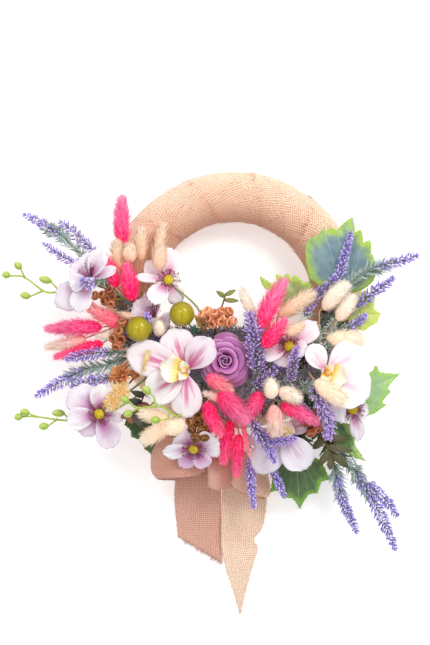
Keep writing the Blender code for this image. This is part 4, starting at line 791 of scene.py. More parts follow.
def addTail(form, low, high, width, rng, slot, shape):
    # a core, then bristles that lean to the tip and take the light as one soft body
    axis = high - low
    length = axis.length
    axis = axis.normalized()
    side, other = frameOf(axis)
    bend = side * rng.uniform(-0.04, 0.04) * length
    rows, sides = 12, 14
    points, uvs, tones = [], [], []
    radius = width / 2
    profile = shape["profile"]

    def centre(share):
        return low + axis * length * share + bend * math.sin(math.pi * share)

    for i in range(rows):
        share = i / (rows - 1)
        for k in range(sides):
            out = spoke(side, other, circle * k / sides)
            points.append(centre(share * 0.94) + out * radius * between(profile, share) * 0.76)
            uvs.append((k / sides, 0.3))
            tones.append((rng.uniform(0.3, 0.5), share))
    form.add(points + [low, centre(0.96)], tubeFaces(rows, sides, True),
             uvs + [(0.5, 0.3), (0.5, 0.3)], slot, tones + [(0.3, 0), (0.3, 1)])
    points, tones, normals = [], [], []
    for n in range(int(shape["thick"] * length / mm * width / mm)):
        if n % 4 == 0:
            # bristles stand in tufts whose tips come together
            share = rng.random() ** 0.9
            angle = rng.uniform(0, circle)
            out = spoke(side, other, angle)
            turn = spoke(other, -side, angle)
            tuft = centre(share * 0.94) + out * radius * between(profile, share) * 0.74
            tall = rng.uniform(0.65, 1.45) * min(0.22 * length, 0.3 * width + 1.7 * mm)
            tall *= between([(0, 0.7), (0.5, 1.0), (1, 1.2)], share)
            tall = min(tall, (1.07 - share) * length + rng.uniform(0.8, 4.2) * mm)
            spread = between([(0, 1.0), (0.5, 0.66), (1, shape["close"])], share)
            spread *= rng.uniform(0.3, 1.8) * shape["spread"]
            toward = (axis + out * spread + turn * rng.uniform(-0.45, 0.45)).normalized()
            soft = out + axis * (share - 0.2 + rng.uniform(-0.3, 0.3))
            soft = (soft + turn * rng.uniform(-0.5, 0.5)).normalized()
            kind = rng.random()
        start = tuft + (turn * rng.uniform(-0.8, 0.8) + axis * rng.uniform(-0.8, 0.8)) * mm
        end = tuft + toward * tall * rng.uniform(0.75, 1.1)
        end = end + (turn * rng.uniform(-0.45, 0.45) + axis * rng.uniform(-0.4, 0.4)) * mm
        half = turn * rng.uniform(0.1, 0.21) * mm
        middle = mix(start, end, 0.5) + out * 0.08 * tall
        points += [start - half, start + half, middle - half * 0.8, middle + half * 0.8, end]
        tones.append((kind * 0.55 + rng.random() * 0.45, share))
        normals += [soft] * 5
    addBlades(form, points, (0, 2, 3, 1), slot, tones, normals)


def buildTails():
    for name, spec, rng, form in each(tails, 200):
        colour = name.split("_")[0]
        shape, stem = (flame, pinkStem) if colour == "pink" else (egg, tanStem)
        used = sorted(set(spec["kinds"]))
        addPeg(form, spec["root"], 0.3)
        for k, (base, tip, width, *route) in enumerate(spec["tails"]):
            low, high = places(base, tip)
            perched = k >= spec.get("perched", len(spec["tails"]))
            path = fromPeg(spec["root"], places(*route) or [low], k)
            if route and not perched:
                path.append(low)
            path = smoothPath(path + [mix(low, high, 0.5 if perched else 0.12)], 5)
            addTube(form, path, 0.7, 6, 0, (rng.random(), 0))
            addTail(form, low, high, width * mm * shape["stout"], rng,
                    1 + used.index(spec["kinds"][k]), shape)
        form.build("bunny_tails_" + name, [stem] + [bristles[kind] for kind in used], colour)


buildTails()


# Lavender: whorls of small florets up a thin grey-green stem. Each spray has its spike's width,
# how leafy it is, the stem's route and the spike's.

lavender = {
    "upper_left": dict(root=(123, 310), florets="pale", sprays=[
        (11, 2, [(110, 290, 61.2), (90, 262, 58), (62, 237, 57)],
         [(60, 235, 57), (42, 224, 57), (24, 214, 56)]),
        (12, 1, [(112, 282, 60.6)], [(96, 254, 58), (79, 237, 58), (60, 221, 57)]),
        (10, 1, [(105, 289, 62)], [(78, 265, 57), (60, 255, 57), (43, 243, 56)]),
        (12, 0, [(114, 294, 63), (107.5, 282, 68), (106, 280.5, 84), (104, 281, 89)],
         [(98, 282.5, 91), (90, 283, 91.5), (80, 281, 91)])]),
    "left": dict(root=(141, 351), florets="plain", sprays=[
        (12, 1, [(127, 353, 66), (110, 352, 70)], [(110, 352, 70), (88, 354, 71), (66, 359, 70)]),
        (12, 3, [(127, 358, 61), (103, 366, 61), (84, 370, 60)],
         [(84, 370, 60), (60, 382, 59), (36, 396, 58)]),
        (12, 1, [(128, 366, 60), (111, 377, 60)], [(111, 377, 60), (91, 381, 59), (71, 387, 58)])]),
    "right": dict(root=(322, 325), florets="plain", sprays=[
        (11, 0, [(315, 314, 70)], [(304, 315, 71), (318, 295, 72), (337, 277, 72), (345, 255, 71),
                                   (351, 232, 69)]),
        (12, 2, [(338, 301, 68), (352, 282, 70), (370, 269.5, 70)],
         [(374, 268, 69), (396, 262, 67), (417, 256, 66)]),
        (12, 1, [(338, 316, 67)], [(354, 306, 68), (374, 292, 68), (394, 278, 66)]),
        (10, 0, [(338, 327, 67)], [(348, 328, 68), (357, 322, 68), (366, 315, 67)])]),
    "middle": dict(root=(262, 383), florets="warm", sprays=[
        (20, 0, [(256, 378, 70)], [(257, 373, 78), (256, 352, 87), (253, 332, 89),
                                   (249, 313, 89)]),
        (11, 0, [(255, 387, 66)], [(254, 387, 68), (266, 377, 72), (279, 366, 72)]),
        (11, 1, [(275, 384, 64)], [(290, 382, 74), (293, 363, 87), (296, 347, 93)])]),
    "lower_right": dict(root=(300, 380), florets="warm", sprays=[
        (16.5, 2, [(304, 384, 76)], [(311, 386, 84), (321, 403, 90), (328, 420, 86),
                                     (328, 438, 78)]),
        (9.5, 0, [(300, 392, 72)], [(298, 401, 73), (306, 410, 72), (313, 419, 70)])]),
    "lower": dict(root=(247, 409), florets="plain", sprays=[
        (12, 0, [(250, 414, 74)], [(251, 418, 78), (259, 434, 79), (268, 448, 75),
                                   (275, 462, 70)]),
        (10, 0, [(255, 427, 73)], [(262, 437, 74.5), (278, 441, 75), (296, 438, 76)]),
        (10, 0, [(244.5, 416, 61), (247, 438, 57)],
         [(250, 455, 53), (251, 482, 49), (254, 508, 45)]),
        (10, 0, [(252, 416, 62), (259, 446, 56)],
         [(266, 458, 52), (276, 478, 49), (284, 496, 46)])]),
    "lower_far_right": dict(root=(304, 386), florets="deep", sprays=[
        (11, 2, [(309, 394, 60.5), (320, 430, 46), (334, 466, 37)],
         [(336, 474, 36), (344, 504, 32), (357, 533, 27)]),
        (13, 2, [(311, 393, 60.5), (334, 440, 44), (352, 468, 41)],
         [(355, 471, 42), (377, 508, 35), (396, 550, 26)]),
        (11, 0, [(313, 392, 60.5), (332, 424, 48), (352, 457, 40)],
         [(368, 482, 42), (384, 498, 38), (398, 516, 34)])]),
}


def floretPaint(name, dark, middle, light, tip):
    paint, across, length, chance, _ = begin(name)
    fleck = paint.noise((across * 8.0, length * 2.0, chance * 20.0), 2.0)
    body = paint.ramp(length * 0.7 + chance * 0.5 + fleck * 0.2 - 0.16,
                      (0.05, dark), (0.35, middle), (0.7, light), (1.0, tip))
    # a faint glow of their own colour: painted light
    return paint.finish(body, 0.7, (fleck, 0.2, 1.0), 0.05)


def thinLeafPaint(name, dark, light, glow=0.0):
    paint, across, length, chance, _ = begin(name)
    rib = (across - 0.5).fold().step(0.0, 0.12, 1.0, 0.0)
    body = paint.ramp(chance * 0.6 + length * 0.3 + rib * 0.25, (0.1, dark), (0.9, light))
    return paint.finish(body, 0.65, (rib, 0.25, 1.0), glow)


florets = dict(
    plain=floretPaint("lavender florets", "604696", "967cd6", "baa8ee", "e4dafc"),
    pale=floretPaint("pale lavender florets", "765caa", "ac96e2", "cec0f6", "f4eeff"),
    warm=floretPaint("warm lavender florets", "704a96", "a284d0", "c6ace8", "e2ccf0"),
    deep=floretPaint("deep lavender florets", "523e8c", "8672c8", "aea0e4", "ded6f8"))
# the grey-green leaves glow faintly: painted light
greyLeaf = thinLeafPaint("grey green leaf", "5c7a70", "d8e6de", 0.03)


def addFloret(form, base, toward, length, width, slot, tone):
    # a small ribbed calyx with its lips just open
    axis = toward.normalized()
    side, other = frameOf(axis)
    sides = 6
    points, uvs = [], []
    for share, full in ((0.0, 0.4), (0.3, 0.9), (0.68, 1.0), (0.92, 0.62)):
        for k in range(sides):
            bulge = 1.0 if k % 2 else 0.72
            out = spoke(side, other, circle * k / sides)
            points.append(base + axis * length * share + out * width / 2 * full * bulge)
            uvs.append((k / sides, share))
    rings, _, last = tubeFaces(4, sides)
    form.add(points + [base + axis * length * 0.96], [rings, np.minimum(last, 4 * sides)],
             uvs + [(0.5, 1)], slot, tone)


def addThinLeaf(form, base, tip, width, slot, tone, thickness=0.35, curl=0.12, rows=6):
    # a narrow pointed leaf, folded a little along its rib
    axis = tip - base
    length = axis.length
    side, lift = frameOf(axis.normalized())
    side = (side * math.cos(tone[0]) + lift * math.sin(tone[0]) * 0.4).normalized()
    grid = []
    for i in range(rows):
        s = i / (rows - 1)
        half = width * mm / 2 * max(0.08, math.sin(math.pi * min(1, s * 0.85 + 0.14)) ** 0.8)
        middle = base + axis * s + lift * length * curl * 4 * s * (1 - s) * 0.5
        grid.append([middle + side * half * t + lift * abs(t) * half * 0.4
                     for t in (-1, 0, 1)])
    addSheet(form, grid, thickness, slot, tone)


def addSpike(form, curve, width, rng, slot, stalkSlot):
    whorls = max(6, int(lengthOf(curve) / (2.8 * mm)))
    for i in range(whorls):
        share = (i + 0.3) / whorls
        centre, axis = along(curve, share)
        side, other = frameOf(axis)
        full = between([(0, 0.8), (0.2, 1.0), (0.6, 0.9), (0.9, 0.62), (1, 0.4)], share)
        count = 7 if full > 0.8 else 6 if full > 0.65 else 5
        for k in range(count):
            angle = circle * (k + 0.5 * (i % 2) + rng.uniform(-0.25, 0.25)) / count
            out = spoke(side, other, angle)
            lean = rng.uniform(0.55, 1.15)
            toward = (out + axis * lean).normalized()
            reach = width / 2 * full / max(0.72, toward.dot(out)) * rng.uniform(0.75, 1.25)
            base = centre + out * 0.5 * mm
            start = base + toward * max(0.0, reach - 4.8 * mm)
            if reach > 5.4 * mm:
                addTube(form, [base, start], (0.28, 0.3), 3, stalkSlot, (rng.random(), 0))
            addFloret(form, start, toward, min(reach, 4.8 * mm), rng.uniform(1.3, 2.2) * mm,
                      slot, (rng.random(), share))
    tip, axis = along(curve, 1.0)
    for _ in range(4):
        out = scatter(rng, -0.5, 0.8)
        addFloret(form, tip - axis * 1.5 * mm, axis + out * 0.35, 3.4 * mm, 1.5 * mm, slot,
                  (rng.random(), 1.0))


def buildLavender():
    for name, spec, rng, form in each(lavender, 300):
        addPeg(form, spec["root"], 0.4)
        for k, (width, leafy, stem, spike) in enumerate(spec["sprays"]):
            path = fromPeg(spec["root"], places(*stem), k)
            spike = places(*spike)
            if (path[-1] - spike[0]).length < 2 * mm:
                path.pop()
            whole = smoothPath(path + spike, 5)
            addTube(form, whole, taper(whole, 0.8, 0.4), 6, 0, (rng.random(), 0))
            for full in (1, 0.62) if width > 15 else (1,):
                addSpike(form, smoothPath(spike, 8), full * width * mm, rng, 1, 0)
            if len(path) < 2:
                continue
            bushy = leafy > 1
            lower = path[1:] + spike[:1] + [mix(spike[0], spike[1], 0.6)] * bushy
            lower = smoothPath(lower, 6)
            pairs = int(lengthOf(lower) / (0.85 if bushy else 1.2) / mm) if leafy else 4
            for i in range(pairs):
                share = (i + 0.5) / pairs
                centre, axis = along(lower, share)
                side, lift = frameOf(axis)
                for turn in (1, -1):
                    out = side * turn + lift * rng.uniform(-0.5, 0.9)
                    toward = axis * rng.uniform(0.4, 1.3) + out * rng.uniform(0.4, 0.8)
                    long = rng.uniform(5.0, 15.0 if bushy else 11.0) * mm
                    addThinLeaf(form, centre, centre + toward.normalized() * long,
                                rng.uniform(0.8, 1.5), 2, (rng.random(), share), rows=5)
        form.build("lavender_" + name, [greyStem, florets[spec["florets"]], greyLeaf], "lavender")


buildLavender()


# Petals: white, with fine veins that gather to a pink base

def petalPaint(name, white, tinge, vein, deep, blush=0.55, streak=0.0, veins=9):
    # given tone: above 0 for petals in the bloom's shade
    paint, across, length, chance, shade = begin(name)
    wander = paint.noise((across * 3.0, length * 2.2, chance * 40.0), 1.3) - 0.5
    thin = (1.0 - (across + wander * 0.16).lines(veins)) ** 5.0
    hair = (1.0 - (across + wander * 0.1).lines(veins * 2.6)) ** 3.0
    away = (across - 0.5).fold() * 2.0
    body = paint.blend(length.step(blush, 0.02) * away.step(1.15, 0.1) * 0.9, white, tinge)
    mottle = paint.noise((across * 2.0, length * 2.5, chance * 17.0), 1.6, 3.0)
    body = paint.blend(mottle.step(0.42, 0.8) * 0.24, body, tinge)
    core = length.step(blush * 0.78, 0.0) * away.step(0.95, 0.2)
    body = paint.blend(core * 0.9, body, deep)
    veined = thin * length.step(0.92, 0.1) * away.step(1.0, 0.4) * 0.7
    body = paint.blend(veined, body, vein)
    body = paint.blend(hair * length.step(0.8, 0.1) * 0.25, body, vein)
    if streak:
        middle = (away + wander * 0.2).step(0.26, 0.02) * length.step(0.86, 0.5)
        side = (away - 0.4 - wander * 0.5).fold().step(0.12, 0.02)
        side = side * length.step(0.66, 0.3) * 0.75
        streaks = middle.most(side) * (thin * 0.4 + hair * 0.4 + 0.75) * streak
        body = paint.blend(streaks.least(1.0), body, deep)
    body = paint.blend(shade * 0.3, body, tinge)
    height = thin * 0.6 + hair * 0.25 + mottle * 0.5
    return paint.finish(body, 0.5, (height, 0.35, 0.7), Sheen_Weight=0.15)


lilacWhite = petalPaint("lilac white petal", "f6f2f6", "d09ac4", "963e86", "bc3892", 0.85)
mauvePetal = petalPaint("mauve petal", "ecd2e8", "ce7ec0", "963282", "b02888", 1.1)
lilacBlush = petalPaint("lilac petal in blush", "eee4ee", "c88cbe", "903880", "b0308a", 1.0)
ringWhite = petalPaint("pink white petal", "fcf6fa", "f6cce2", "de78b0", "ec60a6", 0.8)
# the orchids' whites follow where each orchid sits: whitest on the right orchid, in the light,
# greyer and lilac on the left and bottom ones, further from it; partly their own colour, partly
# painted light and shade
orchidWhite = petalPaint("orchid petal", "f4eef0", "e4c4d4", "c46ea0", "d81486", 0.5, 1.0)
orchidBrightInLight = petalPaint("bright orchid petal in light", "fffcfd", "fce8f4", "f096c8", "ec68b0", 0.4,
                          0.42, 13)
orchidBlush = petalPaint("orchid petal in blush", "ecdee6", "d6a8c2", "ba5a92", "ba2474", 0.7, 0.7)
orchidLilacInShade = petalPaint("lilac orchid petal in shade", "eee8f0", "dec4d8", "b074a4", "be549c", 0.5, 0.4)
columnRed = petalPaint("red column", "fac85a", "f0823c", "d61e5a", "ce1450", 1.0)
columnPink = petalPaint("column", "fce6be", "f0b06e", "c85a3c", "c45428", 0.9)


def throatPaint(name, *stops):
    paint, across, length, chance, _ = begin(name)
    wander = paint.noise((across * 3.0, length * 3.0, chance * 9.0), 1.5, 3.0)
    body = paint.ramp(length + (wander - 0.5) * 0.25, *stops)
    thin = (1.0 - (across + (wander - 0.5) * 0.1).lines(8.0)) ** 5.0
    return paint.finish(paint.blend(thin * 0.3, body, "d6965a"), 0.45, (thin + wander, 0.3, 0.7))


def grainPaint(name, dark, light):
    paint, _, _, chance, share = begin(name)
    grain = paint.noise(paint.place(), 1600.0, 3.0, 0.7)
    return paint.finish(paint.ramp(chance * 0.45 + share * 0.3 + grain * 0.4 - 0.1,
                                   (0.1, dark), (0.85, light)), 0.7, (grain, 0.4, 1.0))


throat = throatPaint("yellow throat", (0.0, "be580a"), (0.18, "f6b81e"), (0.4, "fae07e"),
                     (0.68, "fcf6e8"))
goldThroat = throatPaint("golden throat", (0.0, "e86014"), (0.22, "ffb810"), (0.4, "ffd864"),
                         (0.62, "fef4de"))
yellowGrain = grainPaint("yellow heart grains", "c49206", "fff046")
stamenBrown = grainPaint("stamens", "541832", "b05464")


def addPetal(form, base, tip, facing, width, cup, arch, profile, rng, slot=0, shade=0.0,
             scallop=0.03, wave=0.8, thickness=0.5, groove=0.5, rows=15, columns=15,
             tipRound=0.16):
    width = width * mm
    axis = tip - base
    side = facing.cross(axis).normalized()
    lift = axis.cross(side).normalized()
    length = axis.length
    seed = rng.uniform(0, 90)
    grid, uvs = [], []
    for i in range(rows):
        s = i / (rows - 1)
        half = width / 2 * between(profile, s)
        row = []
        for j in range(columns):
            t = 2 * j / (columns - 1) - 1
            edge = noise.noise(Vector((t * 2.6, seed, 0))) * scallop
            edge += scallop * 0.5 * math.cos(t * 9 + seed)
            rise = arch * length * 4 * s * (1 - s) + cup * width * t * t * s
            ripple = wave * mm * noise.noise(Vector((t * 2.2, s * 3.0, seed))) * (0.3 + s)
            ripple -= groove * mm * math.exp(-(t / 0.12) ** 2) * math.sin(math.pi * s)
            ripple += 0.12 * mm * math.cos(t * 26 + seed) * s
            reach = s * (1 - tipRound * s * t * t + edge * s)
            row.append(base + axis * reach + side * half * t * (1 + edge)
                       + lift * (rise + ripple))
            uvs.append((t / 2 + 0.5, s))
        grid.append(row)
    addSheet(form, grid, thickness, slot, (rng.random(), shade), uvs, 0.35)


def seat(spec):
    # where a bloom's heart is, and which way it looks
    return (place(*spec["heart"], spec["height"]),
            Vector((*spec.get("facing", (0, 0)), 1)).normalized())


# upper petals, lower ones, and the last of an odd number: their level, lift and curl
levels = [(0.9, 1.5, 1.0), (-1.3, -1.5, -0.4)]
middleLevel = (-0.2, 0.0, 0.0)


def addBloom(form, spec, profile, cup, arch, rng, kinds, widen, **looks):
    # hub, petals one over the other, and the stem
    heart, facing = seat(spec)
    hub = [heart + facing * rise * mm for rise in (-2.6, -0.6, 1.9)]
    addTube(form, hub, (2.6, 4.2, 4.0), 14, 0, (0.5, 0.8))
    petals = sorted(spec["petals"], key=lambda found: math.atan2(-found[1], found[0]))
    for i, (across, down, width, rise) in enumerate(petals):
        last = i % 2 == 0 and i == len(petals) - 1
        level, lift, curl = middleLevel if last else levels[i % 2]
        reach = Vector((across * pixel, -down * pixel, 0))
        reach.z = -(facing.x * reach.x + facing.y * reach.y) / facing.z + (rise + lift) * mm
        base = heart + reach.normalized() * 3.0 * mm + facing * level * mm
        tip = heart + reach * 1.02 + facing * level * mm
        addPetal(form, base, tip, facing, width * widen, cup * curl, arch, profile, rng,
                 kinds[i % len(kinds)], 0.5 if level < 0 else 0.0, **looks)
    route = places(*spec.get("route", [])) + [heart - facing * 1.5 * mm]
    addStem(form, spec["root"], route, 1.1, 0.9, len(set(kinds)), (rng.random(), 0))


# Anemones: each petal's way across and down from the heart in pixels, its width, its rise

anemones = {
    "anemone_upper_left": dict(
        heart=(91, 280), height=80.5, facing=(-0.12, 0.1), root=(129, 301),
        route=[(116, 293, 68), (97, 283, 73)], whole=True, fan=(20, 115),
        petals=[(-3, -27, 15, 5), (12, -31, 15, 5), (-19, -16, 15, 2), (-21, 4, 14, 0),
                (-34, 25, 22, -6), (-14, 31, 17, -5), (25, -12, 8, 4)]),
    "anemone_ring": dict(
        heart=(168, 281), height=74, facing=(0.15, 0.25), root=(204, 336), petal=ringWhite,
        route=[(203, 326, 62), (197, 307, 63), (176, 288, 70)],
        petals=[(-22, -18, 15, 3), (2, -32, 15, 3), (-32, -4, 7, 4), (-16, 22, 16, -4),
                (12, 22, 14, -12)]),
    "anemone_behind": dict(
        heart=(155, 320), height=66, root=(150, 338), route=[(152, 329, 62)], whole=True,
        fan=(45, 125), petals=[(-21, -17, 18, 0), (-8, -27, 17, 0), (15, 3, 15, -3)]),
    "anemone_lower_left": dict(
        heart=(98.5, 413.3), height=66, facing=(0.2, -0.15), root=(155, 372),
        route=[(135, 387, 61), (110, 406, 61)], kinds=[0, 1, 1, 0, 0, 0],
        petals=[(-27, -23, 24, 2), (4, -29, 18, 3), (-31, 7, 17, 0), (-16, 22, 16, 0),
                (15, 33, 19, -2), (25, 6, 9, 5)]),
    "anemone_bottom": dict(
        heart=(193.6, 447), height=62, facing=(0.0, -0.75), root=(197, 406),
        route=[(197, 420, 60), (194, 437, 59)], whole=True, kinds=[0, 1, 1, 0, 0, 0],
        petals=[(-19, -8, 26, 0), (24, -8, 26, 0), (-30, 4, 14, 3), (-10, 22, 14, 4),
                (14, 19, 14, 4), (28, 5, 10, 3)]),
    "anemone_right": dict(
        heart=(289.1, 346.4), height=78, facing=(-0.1, 0.15), root=(289, 352), petal=ringWhite,
        petals=[(28, -23, 17, 3), (18, 4, 14, 0), (-14, 17, 17, -2), (-27, 10, 13, 0),
                (2, -19, 14, -2)]),
    "anemone_lower_right": dict(
        heart=(352, 408.8), height=64, facing=(0.2, -0.1), root=(315, 374),
        route=[(330, 389, 60.5), (346, 404, 59)], whole=True,
        petals=[(8, 31, 11, -3), (16, 3, 12, 0), (-14, 10, 12, -1), (3, -18, 12, 0)]),
}
anemoneProfile = [(0, 0.16), (0.1, 0.4), (0.25, 0.74), (0.45, 0.97), (0.65, 1.06), (0.82, 1.0),
                  (0.93, 0.82), (1, 0.55)]


def addHeart(form, spec, rng, yellow, brown):
    # a dome of yellow grains in a ring of stamens; a fan of stamens where it is covered
    heart, facing = seat(spec)
    side, other = frameOf(facing, Vector((0, 1, 0)))
    floor = heart + facing * (1.6 if spec.get("whole") else 2.2) * mm
    golden = math.pi * (3 - math.sqrt(5))
    fan = spec.get("fan")
    grains, stamens = (0, 16) if fan else (150, 44)
    if not fan:
        dome = [floor + facing * rise * mm for rise in (0, 1.4, 2.8, 3.8, 4.3)]
        addTube(form, dome, (4.6, 4.9, 4.1, 2.5, 0.9), 16, yellow, (0.4, 0.3), 0.12, 3)
    for k in range(grains):
        polar = math.acos(1 - 0.98 * (k + 0.5) / grains)
        out = spoke(side, other, k * golden)
        normal = (out * math.sin(polar) + facing * math.cos(polar)).normalized()
        spot = floor + facing * 0.5 * mm + out * math.sin(polar) * 4.9 * mm
        spot += facing * math.cos(polar) * 4.0 * mm
        size = rng.uniform(0.4, 0.65) * mm
        a, b = (found * size for found in frameOf(normal))
        form.add([spot + a, spot + b, spot - a, spot - b, spot + normal * size * 1.5],
                 [np.array([(0, 1, 4), (1, 2, 4), (2, 3, 4), (3, 0, 4)])],
                 [(0, 0)] * 5, yellow, (rng.random(), math.cos(polar)))
    for k in range(stamens):
        out = spoke(side, other, math.radians(rng.uniform(*fan)) if fan else k * golden)
        long = rng.uniform(9.0, 15.5) if fan else rng.uniform(7.0, 11.6)
        start = floor + out * rng.uniform(2.2, 3.4) * mm + facing * 0.8 * mm
        end = floor + out * long * mm + facing * rng.uniform(2.4, 5.6) * mm
        middle = mix(start, end, 0.5) + facing * rng.uniform(0.4, 1.4) * mm
        addTube(form, [start, middle, end], (0.24, 0.2, 0.18), 4, brown, (rng.random(), 0.2))
        toward = (end - middle).normalized()
        addTube(form, [end + toward * rise * mm for rise in (-0.5, 0.3, 1.1)],
                (0.3, 0.55, 0.25), 6, brown, (rng.random(), 0.5))


def buildAnemones():
    for name, spec, rng, form in each(anemones, 400):
        whole = spec.get("whole", False)
        kinds = spec.get("kinds", [0])
        addBloom(form, spec, anemoneProfile, 0.10, 0.06, rng, kinds, 1.24, scallop=0.045,
                 wave=1.3, tipRound=0.1)
        petals = [spec.get("petal", lilacWhite), mauvePetal if whole else lilacBlush]
        petals = petals[:len(set(kinds))]
        if whole:
            addHeart(form, spec, rng, len(petals) + 1, len(petals) + 2)
            form.build(name, petals + [paleStem, yellowGrain, stamenBrown], "white_petal")
        else:
            form.build(name + "_petals", petals + [paleStem], "white_petal")
            heart = Form()
            addHeart(heart, spec, rng, 0, 1)
            heart.build(name + "_heart", [yellowGrain, stamenBrown], "yellow_heart")


buildAnemones()

# Orchids

orchids = {
    "orchid_left": dict(
        heart=(186, 371), height=84, root=(187, 374), kinds=[0, 0, 1, 0, 0], lip=(-22, -4),
        petals=[(-58, -20, 33, -6), (-14, -42, 32, -1), (25, -32, 28, 2), (-38, 25, 31, -4),
                (1, 46, 29, -1)],
        paints=[orchidWhite, throat, columnPink]),
    "orchid_right": dict(
        heart=(325, 372), height=80, facing=(0.05, 0.0), root=(319, 359), kinds=[0] * 5,
        route=[(321, 365, 68)], lip=(14, 6),
        petals=[(-15, -27, 20, 6), (38, -22, 34, -4), (42, 25, 40, 0), (17, 50, 15, -6),
                (-10, 28, 14, -3)],
        paints=[orchidBrightInLight, goldThroat, columnRed]),
    "orchid_bottom": dict(
        heart=(283, 432), height=66, facing=(0.0, -0.2), root=(278, 401), kinds=[1, 0, 0, 1],
        route=[(280, 418, 60)], lip=(4, -6), whole=True,
        petals=[(-26, 40, 30, -2), (23, 36, 31, -5), (24, -10, 17, 0), (-34, 8, 18, -4)],
        paints=[orchidLilacInShade, throat, columnPink]),
}
orchidProfile = [(0, 0.12), (0.1, 0.38), (0.25, 0.74), (0.42, 0.95), (0.58, 1.03), (0.74, 1.01),
                 (0.86, 0.9), (0.94, 0.74), (1, 0.52)]
lipProfile = [(0, 0.34), (0.25, 0.72), (0.5, 1.0), (0.75, 0.98), (0.92, 0.8), (1, 0.55)]
lobeProfile = [(0, 0.5), (0.5, 1.0), (0.85, 0.85), (1, 0.45)]
columnRadii = [(0, 1.6), (0.5, 2.5), (0.85, 2.1), (1, 1.0)]


def addLip(form, spec, rng, yellow, pink):
    heart, facing = seat(spec)
    size, lift = (0.62, 1.9) if spec.get("whole") else (1.0, 3.4)
    across, down = spec["lip"]
    reach = Vector((across * pixel, -down * pixel, 0))
    reach = reach.normalized() * max(reach.length, 18 * mm) * size
    side = facing.cross(reach).normalized()
    floor = heart + facing * lift * mm
    addPetal(form, floor, floor + reach * 1.2 + facing * 4 * mm, facing, 27 * size, 0.3, 0.12,
             lipProfile, rng, yellow, 0.0, scallop=0.05, wave=1.6)
    tip = floor + reach.normalized() * 4 * mm + facing * 7.5 * mm
    path = smoothPath([floor - facing * 0.9 * mm, mix(floor, tip, 0.5), tip], 5)
    addTube(form, path, [between(columnRadii, i / 10) for i in range(11)], 12, pink, (0.4, 0))
    for turn in (1, -1):
        lobe = floor + side * turn * 9.6 * size * mm + facing * 6.4 * size * mm + reach * 0.25
        addPetal(form, floor, lobe, facing, 10.5 * size, 0.25, 0.1, lobeProfile, rng, yellow,
                 0.0, scallop=0.04, wave=1.0, rows=9, columns=9)
    # two thin whiskers in the throat
    for turn in (1, -1):
        start = floor + facing * 1.0 * mm + side * turn * 1.2 * mm
        end = start + reach * 0.55 + facing * 2.2 * mm + side * turn * 0.8 * mm
        addTube(form, smoothPath([start, mix(start, end, 0.5) + facing * mm, end], 4), 0.55, 8,
                yellow, (rng.random(), 0))


def buildOrchids():
    for name, spec, rng, form in each(orchids, 500):
        addBloom(form, spec, orchidProfile, 0.08, 0.05, rng, spec["kinds"], 1.04, scallop=0.015,
                 wave=1.2, groove=0.8, tipRound=0.09)
        petal, *lipPaints = spec["paints"]
        if spec.get("whole"):
            addLip(form, spec, rng, 3, 4)
            form.build(name, [petal, orchidBlush, paleStem] + lipPaints, "white_petal")
        else:
            form.build(name + "_petals", [petal, orchidBlush, paleStem], "white_petal")
            lip = Form()
            addLip(lip, spec, rng, 0, 1)
            lip.build(name + "_lip", lipPaints, "yellow_heart")


buildOrchids()

# Rose: whorls of petals, count, root radius, lip radius, lip height, half width, first angle

rose = dict(heart=(225, 361, 68), root=(225, 362), whorls=[
    (2, 0.8, 2.4, 16.4, 112, 200), (3, 1.9, 6.0, 16.8, 72, 230), (3, 3.6, 11.8, 17.2, 74, 60),
    (4, 5.6, 17.4, 13.6, 56, 95), (4, 7.6, 22.4, 9.4, 52, 50), (5, 9.2, 26.0, 4.6, 42, 84)])


def rosePaint():
    paint, across, length, chance, _ = begin("purple rose petal")
    cloud = paint.noise((across * 2.0, length * 3.0, chance * 30.0), 1.6, 3.0)
    thin = (1.0 - (across + (cloud - 0.5) * 0.08).lines(16.0)) ** 4.0
    # petals darkest toward their base: partly the rose's own deeper purple, partly painted shade
    # deep in the bloom
    body = paint.ramp(length * 0.85 + cloud * 0.25 + chance * 0.1,
                      (0.38, "481244"), (0.72, "a65096"), (1.0, "ce7ec0"))
    rim = (across - 0.5).fold().step(0.44, 0.5) * length.step(0.3, 0.7)
    body = paint.blend(length.step(0.93, 0.98).most(rim) * 0.8, body, "f0ceec")
    body = paint.blend(thin * 0.2, body, "743874")
    return paint.finish(body, 0.55, (thin * 0.4 + cloud, 0.3, 0.6))


